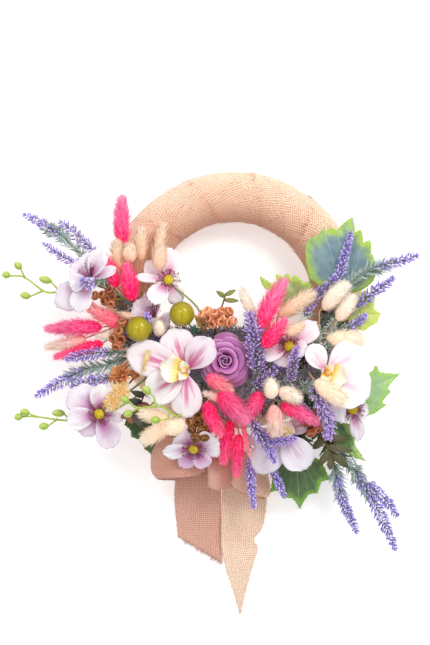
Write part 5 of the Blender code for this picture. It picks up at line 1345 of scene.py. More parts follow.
def buildRose():
    rng = random.Random(61)
    form = Form()
    heart = place(*rose["heart"])
    rise = up * mm
    addTube(form, [heart - rise * 3, heart + rise, heart + rise * 5], (6.0, 9.6, 3.0), 16, 0,
            (0.3, 0))
    rows, columns = 12, 17
    for ring, (count, rootRadius, lip, height, half, first) in enumerate(rose["whorls"]):
        outward = ring / 5
        curl = 0.0 if ring < 2 else mix(0.6, 3.4, outward)
        for k in range(count):
            middle = math.radians(first + 360 * k / count + rng.uniform(-5, 5))
            seed = rng.uniform(0, 60)
            grid, uvs = [], []
            for i in range(rows):
                s = i / (rows - 1)
                radius = mix(rootRadius, lip, s ** 1.4)
                row = []
                for j in range(columns):
                    t = 2 * j / (columns - 1) - 1
                    angle = middle + math.radians(half) * t * min(1, 0.55 + 0.6 * s)
                    out = Vector((math.cos(angle), math.sin(angle), 0))
                    droop = 1 - mix(0.1, 0.3, outward) * abs(t) ** 3 * s
                    roll = curl * max(0, s - 0.72) / 0.28
                    wave = 0.7 * noise.noise(Vector((t * 1.6, s * 2.0, seed))) * s
                    reach = (radius + t * mix(0.5, 1.3, s)) * droop + roll * 0.6 + wave
                    top = height * (1 - (1 - s) ** 1.6) * droop - roll * roll * 0.35
                    row.append(heart + out * reach * mm + rise * (top + wave * 0.6))
                    uvs.append((t / 2 + 0.5, s))
                grid.append(row)
            addSheet(form, grid, 0.5, 0, (rng.random(), outward), uvs, 0.5)
    addStem(form, rose["root"], [heart], 1.1, 1.1, 1)
    form.build("rose", [rosePaint(), paleStem], "rose")


buildRose()

# Berries: smooth, with a dimple where the stem is and a dried scar on top

berries = {
    "berry_left": dict(centre=(139, 329, 80), radius=12.6, root=(139, 329), route=[]),
    "berry_right": dict(centre=(182, 314, 80), radius=12.2, root=(196, 334),
                        route=[(190, 325, 63)]),
}


def berryPaint():
    paint, across, length, _, _ = begin("green berry")
    cloud = paint.noise((across * 3.0, length * 3.0), 2.0, 3.0)
    freckle = paint.noise((across * 40.0, length * 20.0), 2.0, 1.0)
    # darker toward the bottom, lighter toward the top: painted shade and painted light, over the
    # berry's own mottled olive
    body = paint.ramp(length * 0.7 + cloud * 0.4, (0.2, "484e00"), (0.6, "8e8400"),
                      (0.95, "c4ae08"))
    body = paint.blend(freckle.step(0.62, 0.7) * 0.25, body, "cebe3c")
    return paint.finish(body, 0.24, (cloud, 0.4, 0.4), Coat_Weight=0.4, Coat_Roughness=0.06,
                        Specular_IOR_Level=0.3)


berrySkin = berryPaint()


def buildBerries():
    for name, spec in berries.items():
        form = Form()
        centre = place(*spec["centre"])
        radius = spec["radius"]
        rows = 30
        path, radii = [], []
        for i in range(rows):
            angle = math.pi * (0.03 + 0.965 * i / (rows - 1))
            dimple = 0.16 * math.exp(-((math.pi - angle) / 0.22) ** 2)
            path.append(centre - up * math.cos(angle) * radius * mm * (1 - dimple))
            radii.append(math.sin(angle) * radius)
        addTube(form, path, radii, 40, 0, (0.5, 0), 0.02, 3)
        for k in range(5):
            angle = circle * k / 5 + 0.3
            out = Vector((math.cos(angle), math.sin(angle), 0))
            start = centre + up * radius * mm * 0.86
            addThinLeaf(form, start, start + out * 2.2 * mm + up * 0.5 * mm, 1.3, 2, (0.4, 0),
                        0.25, 0.1, 4)
        route = places(*spec["route"]) + [centre - up * (radius - 2) * mm]
        addStem(form, spec["root"], route, 1.0, 0.9, 1)
        form.build(name, [berrySkin, greenStem, darkBrown], "berry")


buildBerries()

# Seed pods: dished cups ringed like turned wood

pods = {
    "pods_upper_left": dict(
        root=(131, 310), knot=(113, 300, 76), height=84, size=8.6,
        pods=[(93, 295), (101, 294), (109, 289), (112, 297), (103, 302), (111, 305)]),
    "pods_left": dict(
        root=(134, 342), knot=(122, 336, 78), height=84, size=9.6,
        pods=[(122, 320), (118, 330), (112, 339), (121, 340), (116, 348)]),
    "pods_middle": dict(
        root=(215, 336), knot=(216, 322, 72), height=80, size=9.0,
        pods=[(200, 313), (206, 309), (214, 311), (223, 309), (216, 319), (227, 316), (236, 321),
              (207, 318), (222, 322), (230, 323), (231, 310), (211, 325)],
        sprig=[(216, 322, 72), (222, 306, 72), (226, 293, 72)],
        sprigLeaves=[(225, 297, 216, 291), (225.5, 295, 236, 290), (224.5, 300, 239, 301)]),
    "pods_bottom": dict(
        root=(205, 405), knot=(202, 419, 67.5), height=76, size=9.2,
        pods=[(197, 423), (190, 431), (202, 432), (195, 440), (206, 415), (211, 430),
              (210, 421), (198, 414), (188, 422), (205, 440)]),
}
# up a pod's outside, over its lip and down into the cup: share of its length and of its width
podSweep = [(0.0, 0.20), (0.08, 0.40), (0.25, 0.76), (0.5, 1.0), (0.74, 1.02), (0.92, 0.86),
            (1.0, 0.66), (0.98, 0.52), (0.86, 0.42), (0.70, 0.30), (0.66, 0.16), (0.74, 0.10)]
# a spray of small leaves: each one's base, tip and height
darkSpray = dict(
    root=(297, 390), stem=[(302, 399, 61), (309, 415, 59), (324, 442, 56), (333.3, 454.8, 53)],
    leaves=[(321, 436, 349.7, 439.7, 57), (326, 446, 353.3, 451.5, 54), (322, 440, 312.7, 449, 56),
            (329, 450, 318.8, 466, 52), (333, 455, 329.7, 470, 51), (331, 452, 348.5, 468, 52),
            (314, 424, 300, 436, 58), (317, 428, 337, 428, 59), (310, 416, 299, 425, 60)],
    knot=(309, 415, 59), height=72, size=9.2,
    pods=[(304, 424), (312.5, 425), (319, 431), (311, 436), (319, 412)])


def podPaint(name, dark, middle, light):
    paint, across, length, chance, _ = begin(name)
    rings = (length * 30.0).math("SINE") * 0.5 + 0.5
    grain = paint.noise((across * 12.0, length * 3.0, chance * 30.0), 2.0, 3.0)
    body = paint.ramp(rings * 0.3 + grain * 0.5 + chance * 0.3 - 0.1,
                      (0.1, dark), (0.45, middle), (0.85, light))
    # darker down inside the cup: painted shade
    return paint.finish(paint.blend(length.step(0.78, 1.0) * 0.65, body, dark), 0.7,
                        (rings * 0.4 + grain, 0.5, 1.0))


def smallLeafPaint(name, dark, light, rib):
    paint, across, length, chance, _ = begin(name)
    away = (across - 0.5).fold()
    veins = ((length - away * 0.8) * 52.0).math("SINE").step(0.72, 1.0)
    middle = away.step(0.045, 0.0)
    cloud = paint.noise((across * 3.0, length * 4.0, chance * 30.0), 2.0)
    body = paint.ramp(cloud * 0.7 + chance * 0.4 - 0.1, (0.15, dark), (0.85, light))
    body = paint.blend((middle + veins * 0.45).least(1.0) * 0.6, body, rib)
    return paint.finish(body, 0.5, (cloud - middle - veins * 0.5, 0.4, 1.0))


orangePod = podPaint("orange brown pod", "562412", "a65c36", "de9664")
peachPod = podPaint("peach brown pod", "8c442a", "ec9668", "ffcea6")
brownPod = podPaint("brown pod", "462810", "8e5c2a", "c08c50")
oliveLeaf = smallLeafPaint("olive brown leaf", "4c4a2c", "868258", "a89c70")
limeLeaf = smallLeafPaint("olive lime leaf", "80883e", "babe70", "d6d696")


def addPod(form, knot, base, mouth, width, rng):
    axis = mouth - base
    side, other = frameOf(axis.normalized())
    rows, sides = len(podSweep), 18
    points, uvs = [], []
    for i, (share, full) in enumerate(podSweep):
        for k in range(sides):
            angle = circle * k / sides
            lobe = 1 + 0.07 * math.cos(angle * 6) + 0.02 * math.cos(angle * 13 + i)
            out = spoke(side, other, angle)
            points.append(base + axis * share + out * width / 2 * full * lobe * mm)
            uvs.append((k / sides, i / (rows - 1)))
    form.add(points + [base, base + axis * 0.76], tubeFaces(rows, sides),
             uvs + [(0.5, 0), (0.5, 1)], 0, (rng.random(), 0))
    bend = mix(knot, base, 0.6) + Vector((0, 0, -0.06 * axis.length))
    stalk = smoothPath([knot, bend, base + axis * 0.05], 4)
    addTube(form, stalk, taper(stalk, 0.65, 0.9), 7, 1, (rng.random(), 0), 0.1)


def addPodBunch(form, spec, rng):
    knot = place(*spec["knot"])
    for spot in spec["pods"]:
        top = place(*spot, spec["height"] + rng.uniform(-1.5, 1.5))
        lean = top - knot
        lean.z = 12 * mm
        axis = lean.normalized() * spec["size"] * 0.95 * mm
        addPod(form, knot, top - axis, top, spec["size"] * rng.uniform(0.94, 1.1), rng)
    return knot


def nearestOn(path, spot):
    found = []
    for low, high in zip(path, path[1:]):
        share = (spot - low).dot(high - low) / (high - low).length_squared
        found.append(mix(low, high, min(max(share, 0.05), 0.9)))
    return min(found, key=lambda near: (near - spot).length)


def buildPods():
    for name, spec, rng, form in each(pods, 600):
        knot = addPodBunch(form, spec, rng)
        addStem(form, spec["root"], [knot + up * mm], 1.3, 1.0, 1)
        if "sprig" in spec:
            addTube(form, smoothPath(places(*spec["sprig"]), 5), 0.8, 8, 1)
            for x, y, tipX, tipY in spec["sprigLeaves"]:
                addThinLeaf(form, place(x, y, 72), place(tipX, tipY, 73), 5, 2,
                            (rng.uniform(0, 0.4), 0), 0.5, 0.14, 9)
        kind = dict(pods_bottom=brownPod, pods_middle=peachPod).get(name, orangePod)
        form.build(name, [kind, darkBrown, limeLeaf], "pod")
    rng = random.Random(3)
    form = Form()
    path = places(*darkSpray["stem"])
    addStem(form, darkSpray["root"], path, 1.2, 0.8, 1)
    for x, y, tipX, tipY, height in darkSpray["leaves"]:
        addThinLeaf(form, nearestOn(path, place(x, y, height)), place(tipX, tipY, height - 3),
                    7.6, 2, (rng.uniform(0, 0.5), 0), 0.5, 0.2, 11)
    addPodBunch(form, darkSpray, rng)
    form.build("dark_leaf_spray", [orangePod, darkBrown, oliveLeaf], "dark_leaf")


buildPods()

# Bud sprigs: pale green stems, each twig with a bud

sprigs = {
    "bud_sprig_upper_left": dict(
        root=(124.5, 299),
        stem=[(115, 299, 66.5), (98, 296, 67), (64, 291.5, 64), (46, 292, 63), (25, 277.5, 62),
              (10, 275.7, 62)],
        twigs=[[(25, 277.5, 62), (20.9, 268.6, 63)], [(43, 291, 63), (30, 296.6, 62)],
               [(60, 291.5, 63), (51, 281.5, 65)]],
        buds=[(10, 275.7, 2, 274, 62), (20.9, 268.6, 15, 262, 63), (30, 296.6, 20, 294.5, 62),
              (51, 281.5, 39, 278, 65)]),
    "bud_sprig_lower_left": dict(
        root=(158, 380),
        stem=[(150, 386, 60.4), (128, 402, 55), (96, 419, 50), (66.5, 420.5, 53),
              (36.8, 416.7, 54), (22, 416.7, 54)],
        twigs=[[(36, 416.5, 54), (29, 413.4, 55)], [(57, 419.5, 53.5), (48, 426, 53)],
               [(70, 420.5, 53), (64, 413.3, 56)]],
        buds=[(22, 416.7, 14, 417.2, 54), (29, 413.4, 20, 410.6, 55), (48, 426, 38.5, 426.6, 53),
              (64, 413.3, 52, 412.8, 56)]),
    "bud_sprig_middle": dict(
        root=(181, 398),
        stem=[(183, 408, 72), (178.8, 416, 84), (170, 412, 90), (163.5, 407.3, 92),
              (154, 406, 92), (138, 407.6, 90), (129, 402, 90)],
        twigs=[[(156, 406, 92), (154.3, 397, 93), (150, 393, 93)],
               [(170, 412, 90), (168, 418, 89), (160, 420, 88)],
               [(139, 407.6, 90), (132, 412, 89)]],
        buds=[(129, 402, 121, 397, 90), (150, 393, 143, 386, 93), (160, 420, 150, 419.5, 88),
              (132, 412, 124, 415, 89)]),
}
budProfile = [(0, 1.0), (0.1, 2.2), (0.3, 3.6), (0.58, 3.8), (0.82, 2.7), (0.94, 1.5), (1, 0.4)]


def budPaint():
    paint, across, length, chance, _ = begin("green bud")
    seam = across.lines(3.0).step(0.25, 0.0)
    cloud = paint.noise((across * 3.0, length * 3.0, chance * 20.0), 2.0)
    body = paint.ramp(length * 0.5 + cloud * 0.5, (0.1, "8cac32"), (0.5, "b2cc58"),
                      (0.95, "dae692"))
    return paint.finish(paint.blend(seam * 0.5, body, "709222"), 0.42, (cloud - seam, 0.4, 1.0),
                        Coat_Weight=0.15)


budSkin = budPaint()


def addBud(form, base, tip, rng):
    shares = [i / 11 for i in range(12)]
    addTube(form, [mix(base, tip, share) for share in shares],
            [between(budProfile, share) for share in shares], 14, 1, (rng.random(), 0), 0.06,
            rng.random() * 9)


def buildSprigs():
    for name, spec, rng, form in each(sprigs, 700):
        addStem(form, spec["root"], places(*spec["stem"]), 1.15, 0.85, 0)
        for twig in spec["twigs"]:
            path = smoothPath(places(*twig), 6)
            addTube(form, path, taper(path, 1.0, 0.75), 8, 0, (rng.random(), 0))
            addTube(form, [path[0] - up * 0.4 * mm, path[0] + up * 0.6 * mm], (1.4, 1.1), 8, 0,
                    (0.3, 0))
        for x, y, tipX, tipY, height in spec["buds"]:
            start, end = place(x, y, height), place(tipX, tipY, height)
            addBud(form, start - (end - start) * 0.08, end, rng)
        form.build(name, [greenStem, budSkin], "bud_green")


buildSprigs()

# Large leaves: the outline toothed, the blade puckered between its veins

leaves = {
    "leaf_blue_green": dict(
        root=(338, 316), base=(346, 292, 62), tip=(352.7, 217.3, 58), stalk=[(341, 306, 61.5)],
        outline=[(346, 294), (362, 290), (373, 281.5), (376, 271), (373.5, 257), (371, 254),
                 (370.3, 240.3), (363, 243), (361.2, 230), (355, 232), (352.7, 217.3),
                 (345, 222), (337, 230.5), (331, 228.5), (325, 232), (324.8, 227.6),
                 (317.6, 236), (310, 238.5), (305.5, 246), (305.5, 259), (309, 278),
                 (318, 285.5), (330, 289)]),
    "leaf_lime_top": dict(
        root=(317, 338), base=(304, 304, 56), tip=(283, 273, 55), stalk=[(311, 326, 58)],
        outline=[(306, 308), (311.5, 299), (311, 281.5), (303, 283), (299, 278), (295.2, 275.5),
                 (291, 279), (287.9, 273.6), (283, 277), (275.8, 274.2), (277, 281), (272, 284),
                 (259.4, 276), (264, 288), (272, 291), (276, 304), (288, 309)]),
    "leaf_yellow_right": dict(
        root=(335, 327), base=(349, 316, 60.5), tip=(381.2, 313, 54), stalk=[],
        outline=[(347, 318), (352, 303), (360, 293), (364.8, 289.4), (368, 293), (371, 292.4),
                 (375, 298), (374.5, 309.4), (381.2, 313), (377, 322.7), (363.6, 331.2),
                 (354, 329)]),
    "leaf_ivy": dict(
        root=(320, 367), base=(358, 392, 57), tip=(400.6, 373.6, 52), stalk=[(340, 380, 58.5)],
        outline=[(356, 394), (363, 376), (371.5, 371.2), (374.5, 365.2), (378, 366),
                 (379.4, 371.8), (400.6, 373.6), (388, 387), (391, 391.8), (382.4, 401.5),
                 (386.7, 405.2), (374.5, 413.6), (363.6, 417.9), (365, 403)]),
    "leaf_bottom": dict(
        root=(266, 405), base=(296, 452, 42), tip=(300, 510, 22),
        stalk=[(271, 414, 60), (288, 440, 51)],
        outline=[(295, 450), (310, 454), (322, 461), (326, 470), (331, 480), (322, 482),
                 (318, 494), (309, 495), (300, 510), (293, 499), (283, 499), (279, 491),
                 (270, 493), (272, 478), (276, 463), (286, 454)]),
    "leaf_lower_right": dict(
        root=(310, 379), base=(333, 419, 52), tip=(367.3, 462.1, 40), stalk=[(322, 400, 57)],
        outline=[(332, 417), (343, 420), (350, 424), (352, 433), (356, 437), (354.5, 442.7),
                 (357, 449), (367.3, 462.1), (355, 458.5), (345, 452), (336, 444), (333, 432)]),
    "leaf_lower_left": dict(
        root=(168, 388), base=(140, 415, 49), tip=(151, 455, 40),
        stalk=[(161, 395, 60.3), (148, 408, 54)],
        outline=[(142, 413), (152, 420), (154, 432), (151, 438), (155, 445), (151, 455),
                 (144, 449), (140, 441), (131, 437), (130, 430), (124, 425), (126, 418),
                 (132, 414)]),
}
leafGrain = dict(spacing=1.9, jitter=0.4, clear=1.1, tooth=0.45, bow=0.5)   # mm


def leafPaint(name, centre, margin, rib, edge, wide, dark, palmate=False):
    # numbers: across and along in parts of the leaf's length; given tone: mm from the margin
    paint, across, length, inward, _ = begin(name)
    away = across.fold()
    cloud = paint.noise((across * 4.0, length * 4.0), 1.6, 3.0)
    fine = paint.noise((across * 30.0, length * 30.0), 2.0, 3.0)
    main = away.step(0.016, 0.004) * length.step(-0.05, 0.0)
    if palmate:
        lines = ((across + (cloud - 0.5) * 0.06) / (length.most(0.0) + 0.14)).lines(5.0)
    else:
        lines = (length - away * 0.62 - away * away * 0.5).lines(7.0)
    veins = (1.0 - lines) ** 6.0
    small = (1.0 - (length * 1.2 + away * 1.7).lines(26.0)) ** 5.0
    body = paint.blend(cloud.step(0.35, 0.7) * 0.6, centre, dark)
    rim = (inward + (cloud - 0.5) * wide * 1.5).step(wide, 0.0)
    body = paint.blend(rim * edge, body, margin)
    patchy = (fine * 0.8 + cloud * 0.5).step(0.3, 0.9)
    body = paint.blend((main + veins * patchy).least(1.0) * 0.6, body, rib)
    body = paint.blend(small * patchy * 0.5, body, rib)
    body = paint.blend(fine.step(0.5, 0.75) * 0.3, body, dark)
    height = cloud * 0.5 + veins * 0.4 - main - small * 0.25 + fine * 0.3
    return paint.finish(body, 0.42, (height, 0.8, 0.8), Coat_Weight=0.12)


leafKinds = dict(
    leaf_blue_green=leafPaint("blue green leaf", "7a969c", "aacc28", "b4cac6", 0.95, 11.0,
                              "527282", True),
    leaf_lime_top=leafPaint("lime leaf", "a6b470", "c0de46", "d2daa0", 0.9, 6.0, "869c52", True),
    leaf_yellow_right=leafPaint("yellow lime leaf", "d4de76", "cce450", "e8eea0", 0.8, 6.0,
                                "b2c850"),
    leaf_ivy=leafPaint("ivy leaf", "a4ca8c", "a0d24a", "d4e8be", 0.9, 7.0, "80b270"),
    leaf_bottom=leafPaint("dark serrated leaf", "54723e", "86bc30", "9ab486", 0.75, 6.0,
                          "34542e", True),
    leaf_lower_right=leafPaint("dark leaf with lime margin", "3c6830", "b0d278", "86aa64", 0.95,
                               7.0, "224622"),
    leaf_lower_left=leafPaint("dark green leaf", "385024", "608c38", "769254", 0.5, 4.0,
                              "223218"))


def addLeaf(form, spec, rng):
    base, tip = places(spec["base"], spec["tip"])
    rib = (tip - base).to_2d()
    length = rib.length
    rib = rib / length
    side = Vector((-rib.y, rib.x))

    def height(x, y):
        away = Vector((x - base.x, y - base.y))
        share = away.dot(rib) / length
        fold = abs(away.dot(side)) / length
        drop = mix(base.z, tip.z, share) + 2.5 * mm * math.sin(math.pi * min(max(share, 0), 1))
        drop += 5 * mm * fold * (1 - fold)
        # puckers between the side veins, and a groove along the rib
        phase = (share - fold * 0.62 - fold * fold * 0.5) * math.pi * 7
        drop += 0.45 * mm * abs(math.sin(phase)) * min(1, fold * 9)
        drop -= 0.5 * mm * math.exp(-(fold / 0.035) ** 2)
        wave = noise.noise(Vector((x * 90, y * 90, base.z * 50)))
        return drop + 1.0 * mm * wave * min(1, fold * 4)

    corners = [place(*spot, 0).to_2d() / mm for spot in spec["outline"]]
    step, jitter = leafGrain["spacing"], leafGrain["jitter"]
    outline = []
    for a, b in zip(corners, corners[1:] + corners[:1]):
        count = max(2, round((b - a).length / step))
        out = Vector(((b - a).y, -(b - a).x)).normalized()
        for k in range(count):
            tooth = leafGrain["tooth"] * ((k % 2) - 0.5) + rng.uniform(-0.15, 0.15) if k else 0.0
            bow = leafGrain["bow"] * math.sin(math.pi * k / count)
            outline.append(mix(a, b, k / count) + out * (tooth + bow))
    edges = [(k, (k + 1) % len(outline)) for k in range(len(outline))]
    rim = np.array([tuple(spot) for spot in outline])
    after = np.roll(rim, -1, axis=0)
    inner = []
    low, high = rim.min(0), rim.max(0)
    for y in np.arange(low[1], high[1], step):
        for x in np.arange(low[0], high[0], step):
            spot = np.array([x + rng.uniform(-jitter, jitter), y + rng.uniform(-jitter, jitter)])
            straddles = (rim[:, 1] > spot[1]) != (after[:, 1] > spot[1])
            rise = np.where(straddles, after[:, 1] - rim[:, 1], 1)
            reach = rim[:, 0] + (spot[1] - rim[:, 1]) * (after[:, 0] - rim[:, 0]) / rise
            inside = np.count_nonzero(straddles & (reach > spot[0])) % 2
            if inside and np.linalg.norm(rim - spot, axis=1).min() > leafGrain["clear"]:
                inner.append(Vector(spot))
    spots, _, triangles, *_ = delaunay_2d_cdt(outline + inner, edges, [], 1, 1e-4)
    points, uvs, tones = [], [], []
    for face in (1, -1):
        for spot in spots:
            x, y = spot.x * mm, spot.y * mm
            away = Vector((x - base.x, y - base.y))
            inward = float(np.linalg.norm(rim - np.array(spot), axis=1).min())
            thick = 0.22 + 0.25 * min(1, inward / 3)
            points.append(Vector((x, y, height(x, y) + face * thick * mm)))
            uvs.append((away.dot(side) / length, away.dot(rib) / length))
            tones.append((inward, 0.0))
    half = len(spots)
    faces, border = [], {}
    for a, b, c in triangles:
        flat = (spots[b] - spots[a]).cross(spots[c] - spots[a])
        if abs(flat) < 1e-9:
            continue
        turned = (a, b, c) if flat > 0 else (a, c, b)
        faces += [turned, tuple(half + corner for corner in reversed(turned))]
        for a, b in zip(turned, turned[1:] + turned[:1]):
            if (b, a) in border:
                del border[(b, a)]
            else:
                border[(a, b)] = True
    sides = [(a, half + a, half + b, b) for a, b in border]
    form.add(points, [np.array(faces), np.array(sides)], uvs, 0, tones)
    # a raised rib under the blade and the stalk
    path = []
    for i in range(9):
        spot = mix(base, tip, mix(0.04, 0.86, i / 8))
        path.append(Vector((spot.x, spot.y, height(spot.x, spot.y) - 0.6 * mm)))
    addTube(form, path, taper(path, 0.8, 0.3), 6, 1, (0.6, 0))
    addStem(form, spec["root"], places(*spec["stalk"]) + path[:2], 1.0, 0.8, 1, (0.5, 0))


def buildLeaves():
    for name, spec, rng, form in each(leaves, 800):
        addLeaf(form, spec, rng)
        form.build(name, [leafKinds[name], greenStem], "leaf")


buildLeaves()

# Straw flowers: papery bracts in rings round a button. Each ring has its count, reach, low and
# high level, and how wide the bracts are. Dry leaves have their tip, width and kind.

brownRings = [(13, 1.0, -1.0, 1.5, 5.2), (12, 0.92, 0.0, 5.0, 5.0), (10, 0.74, 1.2, 8.4, 4.6),
              (8, 0.5, 2.2, 10.0, 4.0), (5, 0.28, 3.0, 10.6, 3.0)]
goldRings = [(24, 1.0, -1.4, 1.4, 2.3), (24, 0.95, -0.2, 4.6, 2.3), (22, 0.8, 1.0, 7.6, 2.2),
             (18, 0.6, 2.2, 9.8, 2.0), (13, 0.36, 3.0, 11.2, 1.9)]
strawFlowers = dict(
    root=(148, 366), bend=(139, 373, 64), plumeHairs=230,
    heads=[(0, (122, 376, 70), (-0.55, 0.35, 0.75), 12.5, brownRings),
           (0, (135, 375, 70), (0.1, 0.5, 0.85), 7.5, brownRings[1:]),
           (1, (121, 390, 70), (-0.15, 0.2, 1), 11.0, goldRings),
           (1, (114, 401, 70), (-0.25, -0.2, 1), 10.0, goldRings)],
    twig=[(144, 368, 61.5), (147, 384, 63), (143, 398, 63), (137, 410, 62), (127, 415, 61)],
    dryLeaves=[(129, 399, 70, 8, 5), (131, 391, 68, 7, 5), (121, 417, 66, 8, 4),
               (133, 424, 62, 9, 4), (145, 419, 62, 9, 4), (152, 409, 64, 8, 4),
               (154, 396, 63, 7, 4), (137, 405, 69, 6, 4), (142, 428, 60, 7, 5),
               (151, 388, 66, 6, 5)],
    plume=[(143, 378, 74), (144, 366, 85), (148, 353, 84)])
bractProfile = [(0, 0.5), (0.35, 0.9), (0.7, 1.0), (1, 0.35)]


def bractPaint(name, dark, middle, light, glow):
    paint, across, length, chance, _ = begin(name)
    grain = paint.noise((across * 9.0, length * 1.5, chance * 30.0), 2.0)
    body = paint.ramp(length * 0.6 + grain * 0.35 + chance * 0.2 - 0.1,
                      (0.1, dark), (0.5, middle), (0.95, light))
    return paint.finish(body, 0.6, (across.lines(7.0) * 0.6 + grain, 0.3, 1.0), glow,
                        Specular_IOR_Level=0.2)


# both kinds of bract glow with their own colour, the golden ones most: painted light
brownBract = bractPaint("brown bract", "843a18", "de844e", "ffc892", 0.06)
goldBract = bractPaint("golden bract", "f49c42", "ffd488", "fff4ce", 0.22)
dryLeaf = smallLeafPaint("brown dry leaf", "703c28", "ce8868", "e6b08c")
darkLeaf = smallLeafPaint("dark dry leaf", "1e2624", "6e706a", "a09888")
# the plume glows faintly: painted light
plume = thinLeafPaint("golden plume", "f0c878", "fff2c8", 0.08)


def buildStraw():
    rng = random.Random(8)
    form = Form()
    for slot, spot, heading, radius, rings in strawFlowers["heads"]:
        centre = place(*spot)
        heading = Vector(heading).normalized()
        side, other = frameOf(heading)
        addTube(form, [centre + heading * rise * mm for rise in (-3, 1, 3.6, 4.4)],
                (3.2, 4.2, 3.0, 1.0), 14, slot, (0.2, 0), 0.1)
        for ring, (count, reach, low, high, wide) in enumerate(rings):
            for k in range(count):
                angle = circle * (k + 0.5 * ring) / count + rng.uniform(-0.2, 0.2)
                out = spoke(side, other, angle)
                long = radius * reach * rng.uniform(0.78, 1.2) * mm
                base = centre + out * 1.6 * mm + heading * low * mm
                tip = centre + out * long + heading * high * rng.uniform(0.8, 1.15) * mm
                addPetal(form, base, tip, heading, wide * rng.uniform(0.8, 1.2), 0.35, 0.16,
                         bractProfile, rng, slot, ring / 5, scallop=0.25, wave=0.5,
                         thickness=0.35, groove=0.1, rows=7, columns=4, tipRound=0.1)
    brown, small, golden, lower = (place(*spot) - up * 2 * mm
                                   for _, spot, *_ in strawFlowers["heads"])
    path = addStem(form, strawFlowers["root"], [place(*strawFlowers["bend"]), brown], 1.1, 0.9, 2)
    addTube(form, smoothPath(places((137, 374, 65), (128, 385, 66)) + [golden, lower], 5),
            0.9, 8, 2)
    addTube(form, smoothPath([place(140, 374, 64), small], 3), 0.8, 8, 2)
    # dry leaves on a stem that bends down past the golden heads
    twig = smoothPath(places(*strawFlowers["twig"]), 6)
    addTube(form, twig, taper(twig, 1.0, 0.6), 7, 2)
    for *spot, wide, slot in strawFlowers["dryLeaves"]:
        end = place(*spot)
        addThinLeaf(form, nearestOn(twig, end), end, wide, slot, (rng.uniform(0.0, 0.9), 0),
                    0.4, 0.3, 10)
    # a feathery plume that lies over the orchid's left petal
    spine = smoothPath([path[7]] + places(*strawFlowers["plume"]), 8)
    addTube(form, spine, 0.6, 6, 3)
    for _ in range(strawFlowers["plumeHairs"]):
        share = rng.uniform(0.4, 1.0)
        spot, axis = along(spine, share)
        out = scatter(rng, -0.2, 0.8)
        long = rng.uniform(3.5, 8.0) * mm * between([(0.4, 0.8), (0.7, 1.0), (1, 0.8)], share)
        addThinLeaf(form, spot, spot + (axis * 0.9 + out * 0.6).normalized() * long,
                    rng.uniform(0.6, 1.1), 3, (rng.random(), share), 0.2, 0.1, 4)
    form.build("straw_flowers", [brownBract, goldBract, darkBrown, plume, dryLeaf, darkLeaf],
               "golden")


buildStraw()

# Moss and small dried leaves that hide the foam. Needles have their number, how level the foam
# is under them, their kind and length; tufts on wires their root, route, kind and number.

moss = dict(
    roots=1500, needles=[(8800, 0.6, 2, (6, 14)), (7800, 0.6, 3, (5, 13)), (2600, 0.0, 1, (4, 9))],
    tufts=[((150, 338), [(150, 330, 66), (147, 314, 84)], 3, 90),
           ((200, 336), [(203, 328, 70), (206, 321, 76)], 1, 70),
           # the two dark moss tufts that reach down to the lower right fill a dark place there:
           # partly foliage, partly painted shade
           ((302, 392), [(312, 414, 50), (330, 444, 42)], 0, 120),
           ((298, 402), [(300, 424, 52), (300, 446, 42)], 0, 90),
           ((326, 348), [(330, 338, 66), (334, 322, 72)], 2, 120),
           ((318, 350), [(316, 342, 68), (322, 328, 72)], 2, 90),
           ((304, 386), [(306, 388, 72), (319, 395, 79)], 2, 110)],
    leaves=[((205, 330, 63), (194, 314, 69), 5), ((201, 334, 60), (190, 326, 66), 6)])
lavenderTuft, lavenderSlot = 3, 4
# the grey and purple fillers and the golden leaf glow faintly: painted light
mossGreens = [thinLeafPaint("dark moss", "2e3e26", "748654"),
              thinLeafPaint("dry filler", "68442e", "c4966c"),
              thinLeafPaint("grey filler", "7e927e", "e8eee2", 0.05),
              thinLeafPaint("purple filler", "9e70b4", "f0d0f6", 0.08)]
goldLeaf = thinLeafPaint("golden leaf", "d8961e", "ffd05a", 0.05)
tealLeaf = thinLeafPaint("teal leaf", "286858", "68a08c")


def addNeedles(form, rng, roots, slot, reach):
    # fine needles that stand out of the moss
    points, tones = [], []
    for spot, normal in roots:
        # the needles grow in clumps, with dark gaps between
        if noise.noise(spot * 110 + Vector((slot * 7, 0, 0))) < rng.uniform(-0.25, 0.1):
            continue
        aside = scatter(rng, -0.3, 0.5)
        toward = (normal * rng.uniform(0.5, 1.2) + aside).normalized()
        long = rng.uniform(*reach) * mm
        half = toward.cross(aside).normalized() * rng.uniform(0.3, 0.5) * mm
        bend = normal * rng.uniform(-0.1, 0.14) * long
        middle = spot + toward * long * 0.55 + bend
        points += [spot - half * 0.6, spot + half * 0.6, middle - half, middle + half,
                   spot + toward * long]
        tones.append((rng.random(), 0))
    addBlades(form, points, (0, 1, 3, 2), slot, tones)


